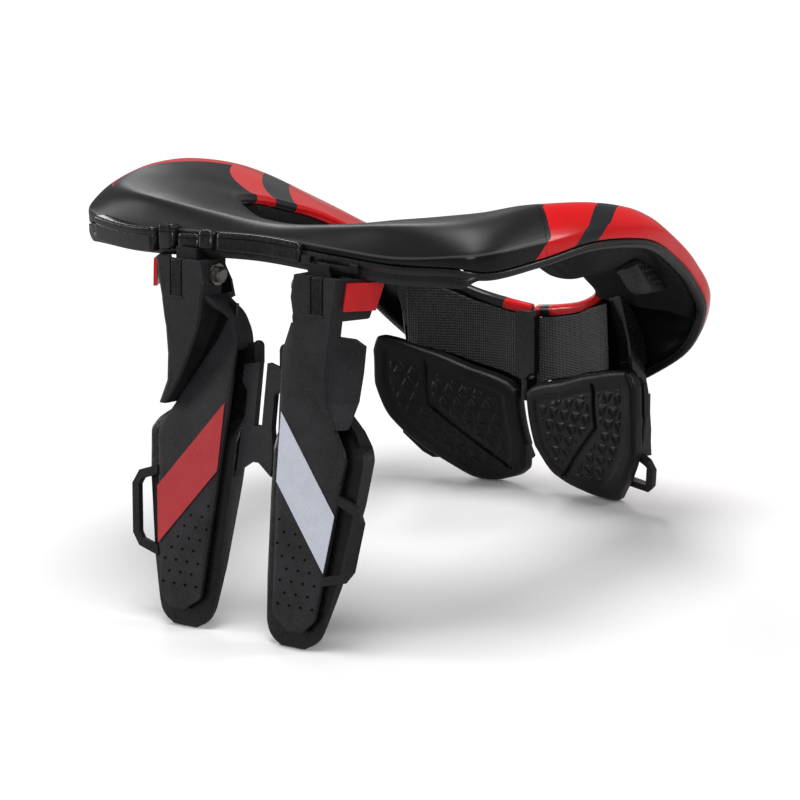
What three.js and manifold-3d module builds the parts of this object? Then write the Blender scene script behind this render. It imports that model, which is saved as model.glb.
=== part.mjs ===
// Motocross neck brace: a stiff collar round the neck, two fins down the back and two pads on the chest.
// Millimetres. The pieces are laid out in the frame of the wearer, who faces +Y with the rear corners of
// the collar at z = 0, and the whole brace is then tipped until it rests on its fins and its chest pads.
import * as THREE from "three";
import { mergeVertices } from "three/addons/utils/BufferGeometryUtils.js";
import Module from "manifold-3d";

// Collar
const COLLAR_HALF_WIDTH = 140;
const COLLAR_HALF_LENGTH = 118;
const FRONT_DROP = 117; // from the rear corners down to the lowest edge of the front
const CROWN = 18; // most that the shell's crest stands over the straight line from lip to edge
const BAND_HEIGHT = 9; // turned-down band along the collar's outer edge
const SHELL_WALL = 3;
const LIP_BEAD = 5; // thickness of the bead along the neck opening
const LIP_TURN = 4.5; // how far that bead turns in
const RIM_WIDTH = 5;
const RIM_HEIGHT = 4;
const FOAM_DEPTH = 20; // foam under the arms, measured from the lip
const FOAM_INSET = 1.2;
const CHASSIS_HEIGHT = 9;
const CHASSIS_DEPTH = 24;
const CHASSIS_STAND = 0.6; // how far it stands out past the collar's edge
const WINDOW_HEIGHT = 5;
const WINDOW_DEPTH = 3.5;
const CLIP_STAND = 1.6; // how far a rear clip stands out of the chassis
const CLASP_WIDTH = 13;
const CLASP_DEPTH = 7;

// Back
const FIN_OVERLAP = 53.6; // how far an arm reaches down past a fin's tip
const FIN_LENGTH = 148;
const FIN_HALF_SPAN = 61.5; // from the middle to a fin's shoulder
const FIN_FACE_Y = -109.5; // where the plane of the fins' faces meets z = 0
const FIN_LEAN = 0.145; // rearward shift of that plane for each millimetre down
const FIN_PLATE = 3;
const BACKING_DEPTH = 12;
const BACKING_ROUND = 6; // how far its front face draws in from its sides
const ARM_REAR_Y = -127;
const ARM_WALL = 3.5;
const ARM_TOP_DROP = 16.6;
const ARM_LENGTH = 80;
const ARM_WING = 11; // how far the arm's outer flange reaches sideways from the rear fold
const WEDGE_THICKNESS = 1.8;
const ARM_FLANGE = 26; // how far its inner flange reaches forward
const LUG_PLACE = 0.594; // inner side of the chassis' lug in the arm, as a share of FIN_HALF_SPAN
const LUG_WIDTH = 13.5;
const LUG_HANG = 14;
const TONGUE_WIDTH = 6.5;
const TONGUE_SLOT = 1;
const BOLT_RADIUS = 3;
const WASHER_RADIUS = 5.5;
const WASHER_THICKNESS = 1.2;
const BOLT_REACH = 13.5; // from the washer into the chassis
const BOLT_HEAD = 2.5;
const LOOP_BAR = 4.5;
const LOOP_REACH = 15.5;
const BRIDGE_PLATE = 3.5;
const BRIDGE_SLIT = 5;

// Chest
const PAD_HALF_SPAN = 88;
const PAD_DROP = 165; // from the rear corners down to the lowest point of a pad
const PAD_HEIGHT = 80;
const PAD_THICKNESS = 9;
const PAD_INNER_Y = 89; // place of a pad's surface beside the middle, at its upper end
const PAD_WRAP = 17.6; // how far it comes back towards its outer side
const PAD_FLARE = 30; // forward sweep of a pad's lower end
const CARRIER_PLATE = 3;
const MESH_THICKNESS = 2;
const MESH_HALF_SPAN = 67.3;
const MESH_FRONT_Y = 99;
const MESH_BOW = 25;
const CARRIER_INSET = 5; // how far a pad's edge stands beyond its carrier
const STRUT_WIDTH = 8.5;
const STRUT_WALL = 3.5;
const STRUT_REACH = 14;
const WEDGE_HANG = 11;
const PEG_RADIUS = 2.9;
const PEG_LENGTH = 14;

const GAP = 0.35; // clearance between pieces that touch
const RADIAL_SIDES = 14;

const wasm = await Module();
wasm.setup();

const FINISH = {
  satinBlack: { color: 0x17181a, roughness: 0.5, metalness: 0 },
  glossRed: { color: 0xc8070d, roughness: 0.15, metalness: 0 },
  rubber: { color: 0x26272a, roughness: 0.7, metalness: 0 },
  foam: { color: 0x101112, roughness: 0.95, metalness: 0 },
  nylon: { color: 0x1e1f21, roughness: 0.62, metalness: 0 },
  mesh: { color: 0x141416, roughness: 0.9, metalness: 0 },
  padFoam: { color: 0x242528, roughness: 0.8, metalness: 0 },
  steel: { color: 0xb0b2b5, roughness: 0.3, metalness: 1 },
};

const brace = new THREE.Group(); // in the wearer's frame

function addPiece(name, geometry, finish) {
  geometry.computeVertexNormals();
  const mesh = new THREE.Mesh(geometry, new THREE.MeshStandardMaterial(FINISH[finish]));
  mesh.name = name;
  brace.add(mesh);
  return mesh;
}

// Turns the faces round where they point inwards.
function facingOut(geometry) {
  const p = geometry.getAttribute("position");
  const index = geometry.index.array;
  let volume = 0;
  const a = new THREE.Vector3();
  const b = new THREE.Vector3();
  const c = new THREE.Vector3();
  for (let i = 0; i < index.length; i += 3) {
    a.fromBufferAttribute(p, index[i]);
    b.fromBufferAttribute(p, index[i + 1]);
    c.fromBufferAttribute(p, index[i + 2]);
    volume += a.dot(b.cross(c)) / 6;
  }
  if (volume < 0) {
    for (let i = 0; i < index.length; i += 3) {
      [index[i + 1], index[i + 2]] = [index[i + 2], index[i + 1]];
    }
  }
  return geometry;
}

// A closed solid through rings of as many points each. Flat outlines of the first and last ring
// say how the two ends are filled.
function loft(rings, firstOutline, lastOutline) {
  const count = rings[0].length;
  const positions = rings.flat().flatMap((p) => [p.x, p.y, p.z]);
  const index = [];
  for (let r = 0; r + 1 < rings.length; r++) {
    for (let i = 0; i < count; i++) {
      const j = (i + 1) % count;
      const a = r * count + i;
      const b = r * count + j;
      const c = (r + 1) * count + j;
      const d = (r + 1) * count + i;
      index.push(a, b, c, a, c, d);
    }
  }
  const turned = THREE.ShapeUtils.isClockWise(firstOutline);
  for (const [a, b, c] of THREE.ShapeUtils.triangulateShape(firstOutline, [])) {
    index.push(...(turned ? [a, b, c] : [a, c, b]));
  }
  const base = (rings.length - 1) * count;
  for (const [a, b, c] of THREE.ShapeUtils.triangulateShape(lastOutline, [])) {
    index.push(...(turned ? [base + a, base + c, base + b] : [base + a, base + b, base + c]));
  }
  const geometry = new THREE.BufferGeometry();
  geometry.setAttribute("position", new THREE.Float32BufferAttribute(positions, 3));
  geometry.setIndex(index);
  return facingOut(geometry);
}

function toSolid(geometry) {
  const bare = geometry.clone();
  bare.deleteAttribute("normal");
  bare.deleteAttribute("uv");
  const merged = mergeVertices(bare, 1e-4);
  return new wasm.Manifold(
    new wasm.Mesh({
      numProp: 3,
      vertProperties: new Float32Array(merged.getAttribute("position").array),
      triVerts: new Uint32Array(merged.index.array),
    }),
  );
}

function toGeometry(solid) {
  const mesh = solid.getMesh();
  const geometry = new THREE.BufferGeometry();
  geometry.setAttribute("position", new THREE.BufferAttribute(mesh.vertProperties, 3));
  geometry.setIndex(new THREE.BufferAttribute(mesh.triVerts, 1));
  return geometry;
}

function cut(geometry, ...tools) {
  return toGeometry(tools.reduce((solid, tool) => solid.subtract(toSolid(tool)), toSolid(geometry)));
}

function join(...geometries) {
  return toGeometry(geometries.map(toSolid).reduce((whole, solid) => whole.add(solid)));
}

function box(from, to) {
  const size = to.map((value, i) => value - from[i]);
  return new THREE.BoxGeometry(...size).translate(...from.map((value, i) => value + size[i] / 2));
}

// The other side's copy of a geometry.
function mirrored(geometry) {
  const copy = geometry.clone();
  copy.scale(-1, 1, 1);
  const index = copy.index.array;
  for (let i = 0; i < index.length; i += 3) {
    [index[i + 1], index[i + 2]] = [index[i + 2], index[i + 1]];
  }
  return copy;
}

function addPair(name, geometry, finish) {
  addPiece(`${name}_right`, geometry, finish);
  addPiece(`${name}_left`, mirrored(geometry), finish);
}

// Collar stations from the middle of the back round to the middle of the front, as shares:
// x of COLLAR_HALF_WIDTH, y of COLLAR_HALF_LENGTH, drop of FRONT_DROP, crown of CROWN, band of
// BAND_HEIGHT and foam of FOAM_DEPTH. The lip borders the neck opening, and at the front it is the top.
const STATIONS = [
  { lipX: 0, lipY: -0.576, lipDrop: 0.051, edgeX: 0, edgeY: -0.975, edgeDrop: 0.017, crestAt: 0.8, crown: 0.33, band: 0.33, foam: 0.2 },
  { lipX: 0.243, lipY: -0.593, lipDrop: 0.034, edgeX: 0.321, edgeY: -0.992, edgeDrop: 0.03, crestAt: 0.8, crown: 0.56, band: 0.33, foam: 0.2 },
  { lipX: 0.4, lipY: -0.559, lipDrop: -0.017, edgeX: 0.6, edgeY: -0.983, edgeDrop: 0.043, crestAt: 0.8, crown: 0.78, band: 0.36, foam: 0.2 },
  { lipX: 0.486, lipY: -0.475, lipDrop: -0.043, edgeX: 0.829, edgeY: -0.941, edgeDrop: 0.017, crestAt: 0.74, crown: 0.72, band: 0.6, foam: 0.2 },
  { lipX: 0.529, lipY: -0.356, lipDrop: -0.034, edgeX: 0.936, edgeY: -0.839, edgeDrop: 0, crestAt: 0.72, crown: 0.76, band: 1, foam: 0.3 },
  { lipX: 0.55, lipY: -0.22, lipDrop: -0.009, edgeX: 0.979, edgeY: -0.576, edgeDrop: -0.026, crestAt: 0.78, crown: 0.84, band: 0.95, foam: 0.45 },
  { lipX: 0.557, lipY: -0.068, lipDrop: 0.034, edgeX: 1, edgeY: -0.288, edgeDrop: -0.06, crestAt: 0.84, crown: 0.66, band: 0.9, foam: 0.6 },
  { lipX: 0.557, lipY: 0.085, lipDrop: 0.077, edgeX: 0.993, edgeY: 0, edgeDrop: -0.043, crestAt: 0.87, crown: 0.5, band: 0.9, foam: 0.9 },
  { lipX: 0.543, lipY: 0.237, lipDrop: 0.137, edgeX: 0.971, edgeY: 0.212, edgeDrop: 0, crestAt: 0.87, crown: 0.38, band: 0.9, foam: 0.68 },
  { lipX: 0.514, lipY: 0.39, lipDrop: 0.214, edgeX: 0.936, edgeY: 0.419, edgeDrop: 0.094, crestAt: 0.85, crown: 0.36, band: 0.9, foam: 0.3 },
  { lipX: 0.471, lipY: 0.525, lipDrop: 0.291, edgeX: 0.9, edgeY: 0.622, edgeDrop: 0.22, crestAt: 0.8, crown: 0.46, band: 0.9, foam: 0.14 },
  { lipX: 0.429, lipY: 0.661, lipDrop: 0.368, edgeX: 0.855, edgeY: 0.8, edgeDrop: 0.393, crestAt: 0.7, crown: 0.7, band: 0.9, foam: 0.12 },
  { lipX: 0.357, lipY: 0.754, lipDrop: 0.436, edgeX: 0.725, edgeY: 0.9, edgeDrop: 0.615, crestAt: 0.62, crown: 0.85, band: 0.9, foam: 0.2 },
  { lipX: 0.243, lipY: 0.822, lipDrop: 0.496, edgeX: 0.479, edgeY: 0.924, edgeDrop: 0.812, crestAt: 0.5, crown: 0.52, band: 0.9, foam: 0.2 },
  { lipX: 0.114, lipY: 0.856, lipDrop: 0.53, edgeX: 0.236, edgeY: 0.966, edgeDrop: 0.932, crestAt: 0.45, crown: 0.44, band: 0.9, foam: 0.2 },
  { lipX: 0.014, lipY: 0.873, lipDrop: 0.547, edgeX: 0.014, edgeY: 0.975, edgeDrop: 0.974, crestAt: 0.4, crown: 0.39, band: 0.9, foam: 0.2 },
];
const LAST = STATIONS.length - 1;

function stationCurve(pick) {
  const points = [];
  for (let i = -LAST; i <= LAST; i++) {
    points.push(pick(STATIONS[Math.abs(i)], Math.sign(i) || 1));
  }
  return new THREE.CatmullRomCurve3(points, false, "catmullrom", 0.5);
}

const lipCurve = stationCurve(
  (row, side) =>
    new THREE.Vector3(
      side * row.lipX * COLLAR_HALF_WIDTH,
      row.lipY * COLLAR_HALF_LENGTH,
      -row.lipDrop * FRONT_DROP,
    ),
);
const edgeCurve = stationCurve(
  (row, side) =>
    new THREE.Vector3(
      side * row.edgeX * COLLAR_HALF_WIDTH,
      row.edgeY * COLLAR_HALF_LENGTH,
      -row.edgeDrop * FRONT_DROP,
    ),
);
const crownCurve = stationCurve((row) => new THREE.Vector3(row.crestAt, row.crown * CROWN, 0));
const depthCurve = stationCurve(
  (row) => new THREE.Vector3(row.band * BAND_HEIGHT, row.foam * FOAM_DEPTH, 0),
);

// The collar's cross-section frame at a station: across runs from the lip to the edge, out is away
// from the wearer. Stations run from -LAST on the left front to LAST on the right front.
function stationFrame(s) {
  const t = (s + LAST) / (2 * LAST);
  const step = 0.25 / (2 * LAST);
  const middle = (u) => {
    const clamped = Math.min(1, Math.max(0, u));
    return lipCurve.getPoint(clamped).add(edgeCurve.getPoint(clamped)).multiplyScalar(0.5);
  };
  const lip = lipCurve.getPoint(t);
  const across = edgeCurve.getPoint(t).sub(lip);
  const width = across.length();
  across.normalize();
  const along = middle(t + step).sub(middle(t - step));
  const out = new THREE.Vector3().crossVectors(across, along).normalize();
  const crest = crownCurve.getPoint(t);
  const depth = depthCurve.getPoint(t);
  return {
    station: s,
    lip,
    across,
    out,
    width,
    crestAt: crest.x,
    crown: crest.y,
    band: depth.x,
    foam: depth.y,
  };
}

function atStation(frame, a, b) {
  return frame.lip.clone().addScaledVector(frame.across, a).addScaledVector(frame.out, b);
}

// A solid along the collar, whose flat outline at each station comes from a function of the frame.
function alongCollar(from, to, steps, outlineOf) {
  const rings = [];
  const outlines = [];
  for (let i = 0; i <= steps; i++) {
    const frame = stationFrame(from + ((to - from) * i) / steps);
    const outline = outlineOf(frame);
    outlines.push(outline.map(([a, b]) => new THREE.Vector2(a, b)));
    rings.push(outline.map(([a, b]) => atStation(frame, a, b)));
  }
  return loft(rings, outlines[0], outlines[steps]);
}

// Height of the shell's outer face over the line from lip to edge, at a share of the way across.
function crownHeight(frame, share) {
  const { crestAt, crown } = frame;
  if (share <= crestAt) return crown * Math.sin((share / crestAt) * (Math.PI / 2));
  const past = (share - crestAt) / (1 - crestAt);
  return crown * (1 - past * past);
}

const SHELL_SHARES = [0.12, 0.3, 0.5, 0.69, 0.82, 0.91, 0.97];

function shellOutline(frame) {
  const { width, band } = frame;
  const top = SHELL_SHARES.map((share) => [share * width, crownHeight(frame, share)]);
  const under = SHELL_SHARES.slice(1, -1).map((share) => [
    share * width,
    Math.max(crownHeight(frame, share) - SHELL_WALL, 0.2 - SHELL_WALL),
  ]);
  return [
    [width, -band],
    [width, 0],
    ...top.reverse(),
    [0, 1],
    [-1, -1],
    [0, -LIP_TURN],
    [LIP_BEAD - 1, -LIP_TURN],
    [LIP_BEAD, -SHELL_WALL],
    ...under,
    [width - SHELL_WALL, -SHELL_WALL],
    [width - SHELL_WALL, -band],
  ];
}

const SEAM = 5.1; // station where the rear shell meets the arms' shells
const SEAM_GAP = 0.012;

function buildCollarShells() {
  addPiece("collar_rear_shell", alongCollar(-SEAM, SEAM, 32, shellOutline), "satinBlack");
  addPair("collar_arm_shell", alongCollar(SEAM + SEAM_GAP, LAST, 26, shellOutline), "glossRed");
}

const RIM_START = 3.3;

function rimOutline({ width, band }) {
  const top = -band - GAP;
  const inner = width - RIM_WIDTH;
  return [
    [width - 0.5, top],
    [width + 0.3, top - RIM_HEIGHT * 0.3],
    [width - 0.2, top - RIM_HEIGHT * 0.8],
    [width - 1.5, top - RIM_HEIGHT],
    [inner + 1, top - RIM_HEIGHT],
    [inner, top - RIM_HEIGHT * 0.6],
    [inner, top],
  ];
}

function buildEdgeRims() {
  addPair("collar_edge_rim", alongCollar(RIM_START, LAST - 0.2, 28, rimOutline), "rubber");
}

// Foam liner under an arm: its top follows the shell, and its underside bulges towards the shoulder.
const FOAM_SHARES = [0.14, 0.3, 0.5, 0.68, 0.82];

function foamUnderside({ foam }, share) {
  return -(GAP + LIP_TURN) - foam * Math.sin(Math.PI * Math.min(1, 0.28 + 0.72 * share));
}

function foamOutline(frame) {
  const { width, band } = frame;
  const inner = LIP_BEAD + FOAM_INSET;
  const outer = width - RIM_WIDTH - FOAM_INSET;
  const top = FOAM_SHARES.map((share) => [
    inner + (outer - inner) * share,
    Math.max(crownHeight(frame, share * 0.8 + 0.1) - SHELL_WALL, 0.2 - SHELL_WALL) - 2 * GAP - 1.2,
  ]);
  const under = [0.95, 0.75, 0.5, 0.25, 0].map((share) => [
    outer * share,
    Math.min(foamUnderside(frame, share), -band * share - GAP),
  ]);
  return [
    [inner, -SHELL_WALL - 2 * GAP - 1],
    ...top,
    [outer, -SHELL_WALL - 1.5],
    [outer, -band - RIM_HEIGHT * 0.6],
    ...under,
    [1, -LIP_TURN - GAP],
    [inner, -LIP_TURN - GAP],
  ];
}

const FOAM_START = 4.7;
const FOAM_END = 11.3;

function buildFoam() {
  addPair("shoulder_foam", alongCollar(FOAM_START, FOAM_END, 20, foamOutline), "foam");
}

// Rear chassis under the back of the shell, with three windows and two channels cut into its face.
const CHASSIS_END = 3.2;

function chassisOutline({ width, band }) {
  const top = -band - GAP;
  const face = width + CHASSIS_STAND;
  return [
    [width - 1, top],
    [face, top - 1.5],
    [face, top - CHASSIS_HEIGHT + 2],
    [width - 1.5, top - CHASSIS_HEIGHT],
    [width - CHASSIS_DEPTH, top - CHASSIS_HEIGHT],
    [width - CHASSIS_DEPTH, top],
  ];
}

const CHASSIS_STEPS = 26;

// The room that the chassis takes up, with the clearance round it, to cut what seats against it.
function chassisRoom() {
  return alongCollar(-CHASSIS_END, CHASSIS_END, CHASSIS_STEPS, ({ width, band }) => {
    const top = -band;
    const foot = -band - CHASSIS_HEIGHT - 2 * GAP;
    const face = width + CHASSIS_STAND + GAP;
    return [
      [face, top],
      [face, foot],
      [width - CHASSIS_DEPTH - GAP, foot],
      [width - CHASSIS_DEPTH - GAP, top],
    ];
  });
}

function chassisPocket(from, to, height, depth) {
  return alongCollar(from, to, 6, ({ width, band }) => {
    const middle = -band - GAP - CHASSIS_HEIGHT / 2;
    return [
      [width + 4, middle + height / 2],
      [width + 4, middle - height / 2],
      [width - depth, middle - height / 2],
      [width - depth, middle + height / 2],
    ];
  });
}

function lugBox() {
  const inner = LUG_PLACE * FIN_HALF_SPAN;
  return box(
    [inner, ARM_REAR_Y + ARM_WALL + 1, -ARM_TOP_DROP - LUG_HANG],
    [inner + LUG_WIDTH, ARM_REAR_Y + ARM_FLANGE, -ARM_TOP_DROP + CHASSIS_HEIGHT * 0.6],
  );
}

function boltHole(radius) {
  const length = 30;
  return new THREE.CylinderGeometry(radius, radius, length, RADIAL_SIDES)
    .rotateZ(Math.PI / 2)
    .translate(BOLT.x, BOLT.y, BOLT.z);
}

const BOLT = { x: LUG_PLACE * FIN_HALF_SPAN, y: ARM_REAR_Y + 10, z: -ARM_TOP_DROP - LUG_HANG / 2 };

function buildChassis() {
  const bar = alongCollar(-CHASSIS_END, CHASSIS_END, CHASSIS_STEPS, chassisOutline);
  const lug = cut(lugBox(), boltHole(BOLT_RADIUS + GAP));
  const whole = join(bar, lug, mirrored(toGeometry(toSolid(lug))));
  const windows = [
    chassisPocket(-0.5, 0.5, WINDOW_HEIGHT, WINDOW_DEPTH),
    chassisPocket(1.55, 2.6, WINDOW_HEIGHT, WINDOW_DEPTH),
    chassisPocket(-2.6, -1.55, WINDOW_HEIGHT, WINDOW_DEPTH),
    chassisPocket(0.82, 1.28, CHASSIS_HEIGHT + 4, WINDOW_DEPTH),
    chassisPocket(-1.28, -0.82, CHASSIS_HEIGHT + 4, WINDOW_DEPTH),
  ];
  addPiece("rear_chassis", cut(whole, ...windows), "nylon");
}

function buildClips() {
  for (const [name, from, to] of [["rear_clip_inner", 0.64, 0.76], ["rear_clip_outer", 1.34, 1.46]]) {
    const clip = alongCollar(from, to, 2, ({ width, band }) => {
      const top = -band - GAP - 1.8;
      const face = width + CHASSIS_STAND;
      return [
        [face, top],
        [face + GAP + CLIP_STAND, top - 0.6],
        [face + GAP + CLIP_STAND, top - 4.4],
        [face, top - 5],
      ];
    });
    addPair(name, cut(clip, chassisRoom()), "nylon");
  }
}

// A plate between two faces, from rows that each hold a place and the low and high end across it.
// The point function turns place, distance across and depth into a point.
function plate(rows, divisions, bevel, depthOf, point, farBevel = bevel) {
  const rings = [];
  let first;
  let last;
  for (const row of rows) {
    const span = row.high - row.low;
    const depth = depthOf(row);
    const face = (inset) => {
      const values = [];
      for (let i = 0; i <= divisions; i++) {
        values.push(row.low + inset + ((span - 2 * inset) * i) / divisions);
      }
      return values;
    };
    const near = Math.min(bevel, span * 0.3);
    const far = Math.min(farBevel, span * 0.3);
    const nearShelf = Math.min(near, depth * 0.4);
    const farShelf = depth - Math.min(far, depth * 0.5);
    const outline = [
      ...face(near).map((v) => [v, 0]),
      [row.high, nearShelf],
      [row.high, farShelf],
      ...face(far).reverse().map((v) => [v, depth]),
      [row.low, farShelf],
      [row.low, nearShelf],
    ];
    rings.push(outline.map(([v, d]) => point(row, v, d)));
    last = outline.map(([v, d]) => new THREE.Vector2(v, d));
    first ??= last;
  }
  return loft(rings, first, last);
}

// Fins. Heights are shares of FIN_LENGTH below the tip, and sides are shares of FIN_HALF_SPAN.
const FIN_ROWS = [
  { down: 0, inner: 0.31, outer: 0.34 },
  { down: 0.095, inner: 0.244, outer: 0.455 },
  { down: 0.29, inner: 0.268, outer: 0.795 },
  { down: 0.392, inner: 0.285, outer: 0.97 },
  { down: 0.43, inner: 0.295, outer: 1 },
  { down: 0.61, inner: 0.325, outer: 0.945 },
  { down: 0.78, inner: 0.358, outer: 0.895 },
  { down: 0.955, inner: 0.39, outer: 0.83 },
  { down: 1, inner: 0.56, outer: 0.715 },
];

// set is a share of BACKING_DEPTH: how far the backing stands off the fin where the arm passes.
const BACKING_ROWS = [
  { down: 0.1, inner: 0.2, outer: 0.43, set: 0.45, depth: 0.6 },
  { down: 0.28, inner: 0.19, outer: 0.8, set: 0.45, depth: 0.8 },
  { down: 0.34, inner: 0.19, outer: 0.955, set: 0.45, depth: 0.9 },
  { down: 0.385, inner: 0.19, outer: 1.09, set: 0.12, depth: 1 },
  { down: 0.42, inner: 0.195, outer: 1.14, set: 0, depth: 1 },
  { down: 0.57, inner: 0.21, outer: 1.1, set: 0, depth: 0.95 },
  { down: 0.84, inner: 0.25, outer: 0.975, set: 0, depth: 0.7 },
  { down: 0.985, inner: 0.28, outer: 0.86, set: 0, depth: 0.5 },
  { down: 1.03, inner: 0.37, outer: 0.77, set: 0, depth: 0.45 },
  { down: 1.058, inner: 0.5, outer: 0.66, set: 0, depth: 0.4 },
];

function finFaceY(z) {
  return FIN_FACE_Y + FIN_LEAN * z;
}

function finZ(down) {
  return FIN_OVERLAP - ARM_TOP_DROP - ARM_LENGTH - down * FIN_LENGTH;
}

function finRows(rows) {
  return rows.map((row) => ({
    ...row,
    z: finZ(row.down),
    low: row.inner * FIN_HALF_SPAN,
    high: row.outer * FIN_HALF_SPAN,
  }));
}

// A fin's plate, or the room it takes up with a clearance round it and past both faces.
function finPlate(clearance, past) {
  const rows = finRows(FIN_ROWS).map((row) => ({
    ...row,
    low: row.low - clearance,
    high: row.high + clearance,
  }));
  return plate(
    rows,
    2,
    past ? 0.01 : 1,
    () => FIN_PLATE + 2 * past,
    (row, x, d) => new THREE.Vector3(x, finFaceY(row.z) + d - past, row.z),
  );
}

function buildFins() {
  addPair("fin", finPlate(0, 0), "nylon");
  const backing = plate(
    finRows(BACKING_ROWS),
    2,
    1.2,
    (row) => row.depth * BACKING_DEPTH,
    (row, x, d) =>
      new THREE.Vector3(x, finFaceY(row.z) + FIN_PLATE + GAP + row.set * BACKING_DEPTH + d, row.z),
    BACKING_ROUND,
  );
  addPair("fin_backing", backing, "rubber");
}

// Arms that carry the fins: channels with a rear web, an inner flange and an oblique outer wing.
// down is a share of ARM_LENGTH; inner and outer are shares of FIN_HALF_SPAN; wing and flange are
// shares of ARM_WING and ARM_FLANGE.
const ARM_ROWS = [
  { down: 0, inner: 0.5, outer: 0.965, wing: 0.95, flange: 0.68 },
  { down: 0.14, inner: 0.463, outer: 0.935, wing: 0.95, flange: 0.85 },
  { down: 0.25, inner: 0.488, outer: 0.905, wing: 0.88, flange: 1 },
  { down: 0.26, inner: 0.488, outer: 0.905, wing: 0.22, flange: 0.84 },
  { down: 0.36, inner: 0.5, outer: 0.885, wing: 0.22, flange: 0.72 },
  { down: 0.38, inner: 0.51, outer: 0.88, wing: 0.62, flange: 0.68 },
  { down: 0.43, inner: 0.53, outer: 0.865, wing: 0.9, flange: 0.6 },
  { down: 0.6, inner: 0.625, outer: 0.845, wing: 0.88, flange: 0.56 },
  { down: 0.77, inner: 0.745, outer: 0.855, wing: 0.75, flange: 0.55 },
  { down: 0.92, inner: 0.88, outer: 0.945, wing: 0.3, flange: 0.51 },
];
const WING_SLOPE = 1.6; // forward for each millimetre sideways

function armOutline(row) {
  const xi = row.inner * FIN_HALF_SPAN;
  const xo = row.outer * FIN_HALF_SPAN;
  const wing = row.wing * ARM_WING;
  const flange = row.flange * ARM_FLANGE;
  const wall = Math.min(ARM_WALL, (xo - xi) * 0.45);
  return [
    [xi, ARM_REAR_Y + flange],
    [xi, ARM_REAR_Y + 1],
    [xi + 1, ARM_REAR_Y],
    [xo - 1, ARM_REAR_Y],
    [xo + 0.6, ARM_REAR_Y + 0.6],
    [xo + wing, ARM_REAR_Y + wing * WING_SLOPE],
    [xo + wing - wall * 0.5, ARM_REAR_Y + wing * WING_SLOPE + wall],
    [xo - wall * 0.3, ARM_REAR_Y + wall],
    [xi + wall, ARM_REAR_Y + wall],
    [xi + wall, ARM_REAR_Y + flange],
  ];
}

function armZ(down) {
  return -ARM_TOP_DROP - down * ARM_LENGTH;
}

function tongueSlots() {
  const middle = 0.75 * FIN_HALF_SPAN;
  const top = armZ(0);
  const bottom = top - ARM_LENGTH * 0.23;
  const rear = ARM_REAR_Y - 2;
  const front = ARM_REAR_Y + ARM_WALL + 2;
  const half = TONGUE_WIDTH / 2;
  return [
    box([middle - half - TONGUE_SLOT, rear, bottom], [middle - half, front, top + 2]),
    box([middle + half, rear, bottom], [middle + half + TONGUE_SLOT, front, top + 2]),
    box([middle - half - TONGUE_SLOT, rear, bottom - TONGUE_SLOT], [middle + half + TONGUE_SLOT, front, bottom]),
  ];
}

function buildArms() {
  const rings = ARM_ROWS.map((row) =>
    armOutline(row).map(([x, y]) => new THREE.Vector3(x, y, armZ(row.down))),
  );
  const flat = (row) => armOutline(row).map(([x, y]) => new THREE.Vector2(x, y));
  const channel = loft(rings, flat(ARM_ROWS[0]), flat(ARM_ROWS[ARM_ROWS.length - 1]));
  const slots = tongueSlots().slice(0, 2);
  const arm = cut(channel, boltHole(BOLT_RADIUS + GAP), ...slots, chassisRoom());
  addPair("strut_arm", arm, "nylon");
}

const ARM_INNER = Math.min(...ARM_ROWS.map((row) => row.inner)) * FIN_HALF_SPAN;

// Bolt with its washer, through the arm's inner flange into the chassis.
function buildBolts() {
  const turnedProfile = [
    [0, 0],
    [BOLT_RADIUS, 0],
    [BOLT_RADIUS, BOLT_REACH],
    [WASHER_RADIUS, BOLT_REACH],
    [WASHER_RADIUS, BOLT_REACH + WASHER_THICKNESS],
    [BOLT_RADIUS * 1.35, BOLT_REACH + WASHER_THICKNESS],
    [BOLT_RADIUS * 1.35, BOLT_REACH + WASHER_THICKNESS + BOLT_HEAD],
    [BOLT_RADIUS * 0.9, BOLT_REACH + WASHER_THICKNESS + BOLT_HEAD + 0.8],
    [0, BOLT_REACH + WASHER_THICKNESS + BOLT_HEAD + 0.8],
  ].map(([r, h]) => new THREE.Vector2(r, h));
  const bolt = new THREE.LatheGeometry(turnedProfile, RADIAL_SIDES)
    .rotateZ(Math.PI / 2)
    .translate(ARM_INNER - GAP + BOLT_REACH, BOLT.y, BOLT.z);
  addPair("strut_bolt", toGeometry(toSolid(bolt)), "steel");
}

// Red wedge that fixes the arm's angle, on the outer face of the wing.
function buildAdjusters() {
  const fold = { x: ARM_ROWS[0].outer * FIN_HALF_SPAN, y: ARM_REAR_Y };
  const outward = new THREE.Vector3(WING_SLOPE, -1, 0).normalize();
  const on = (share, z, out) =>
    new THREE.Vector3(fold.x + share * ARM_WING, fold.y + share * ARM_WING * WING_SLOPE, z).addScaledVector(
      outward,
      out + GAP,
    );
  const rows = [
    { z: armZ(0.02), from: 0.2, to: 1.12 },
    { z: armZ(0.19), from: 0.12, to: 0.9 },
  ];
  const ring = (row) => [
    on(row.from, row.z, 0),
    on(row.from, row.z, WEDGE_THICKNESS),
    on(row.to, row.z, WEDGE_THICKNESS),
    on(row.to, row.z, 0),
  ];
  const flat = [
    new THREE.Vector2(0, 0),
    new THREE.Vector2(0, 1),
    new THREE.Vector2(1, 1),
    new THREE.Vector2(1, 0),
  ];
  addPair("angle_wedge", loft(rows.map(ring), flat, flat), "glossRed");
}

// Strap loop beside the outer edge of a fin: a flat bar bent round a slot. out is a share of LOOP_REACH.
const FIN_LOOP_PATH = [
  { out: 0, down: 0.545 },
  { out: 0.8, down: 0.575 },
  { out: 1, down: 0.61 },
  { out: 0.97, down: 0.77 },
  { out: 0.8, down: 0.8 },
  { out: 0, down: 0.825 },
];

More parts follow.
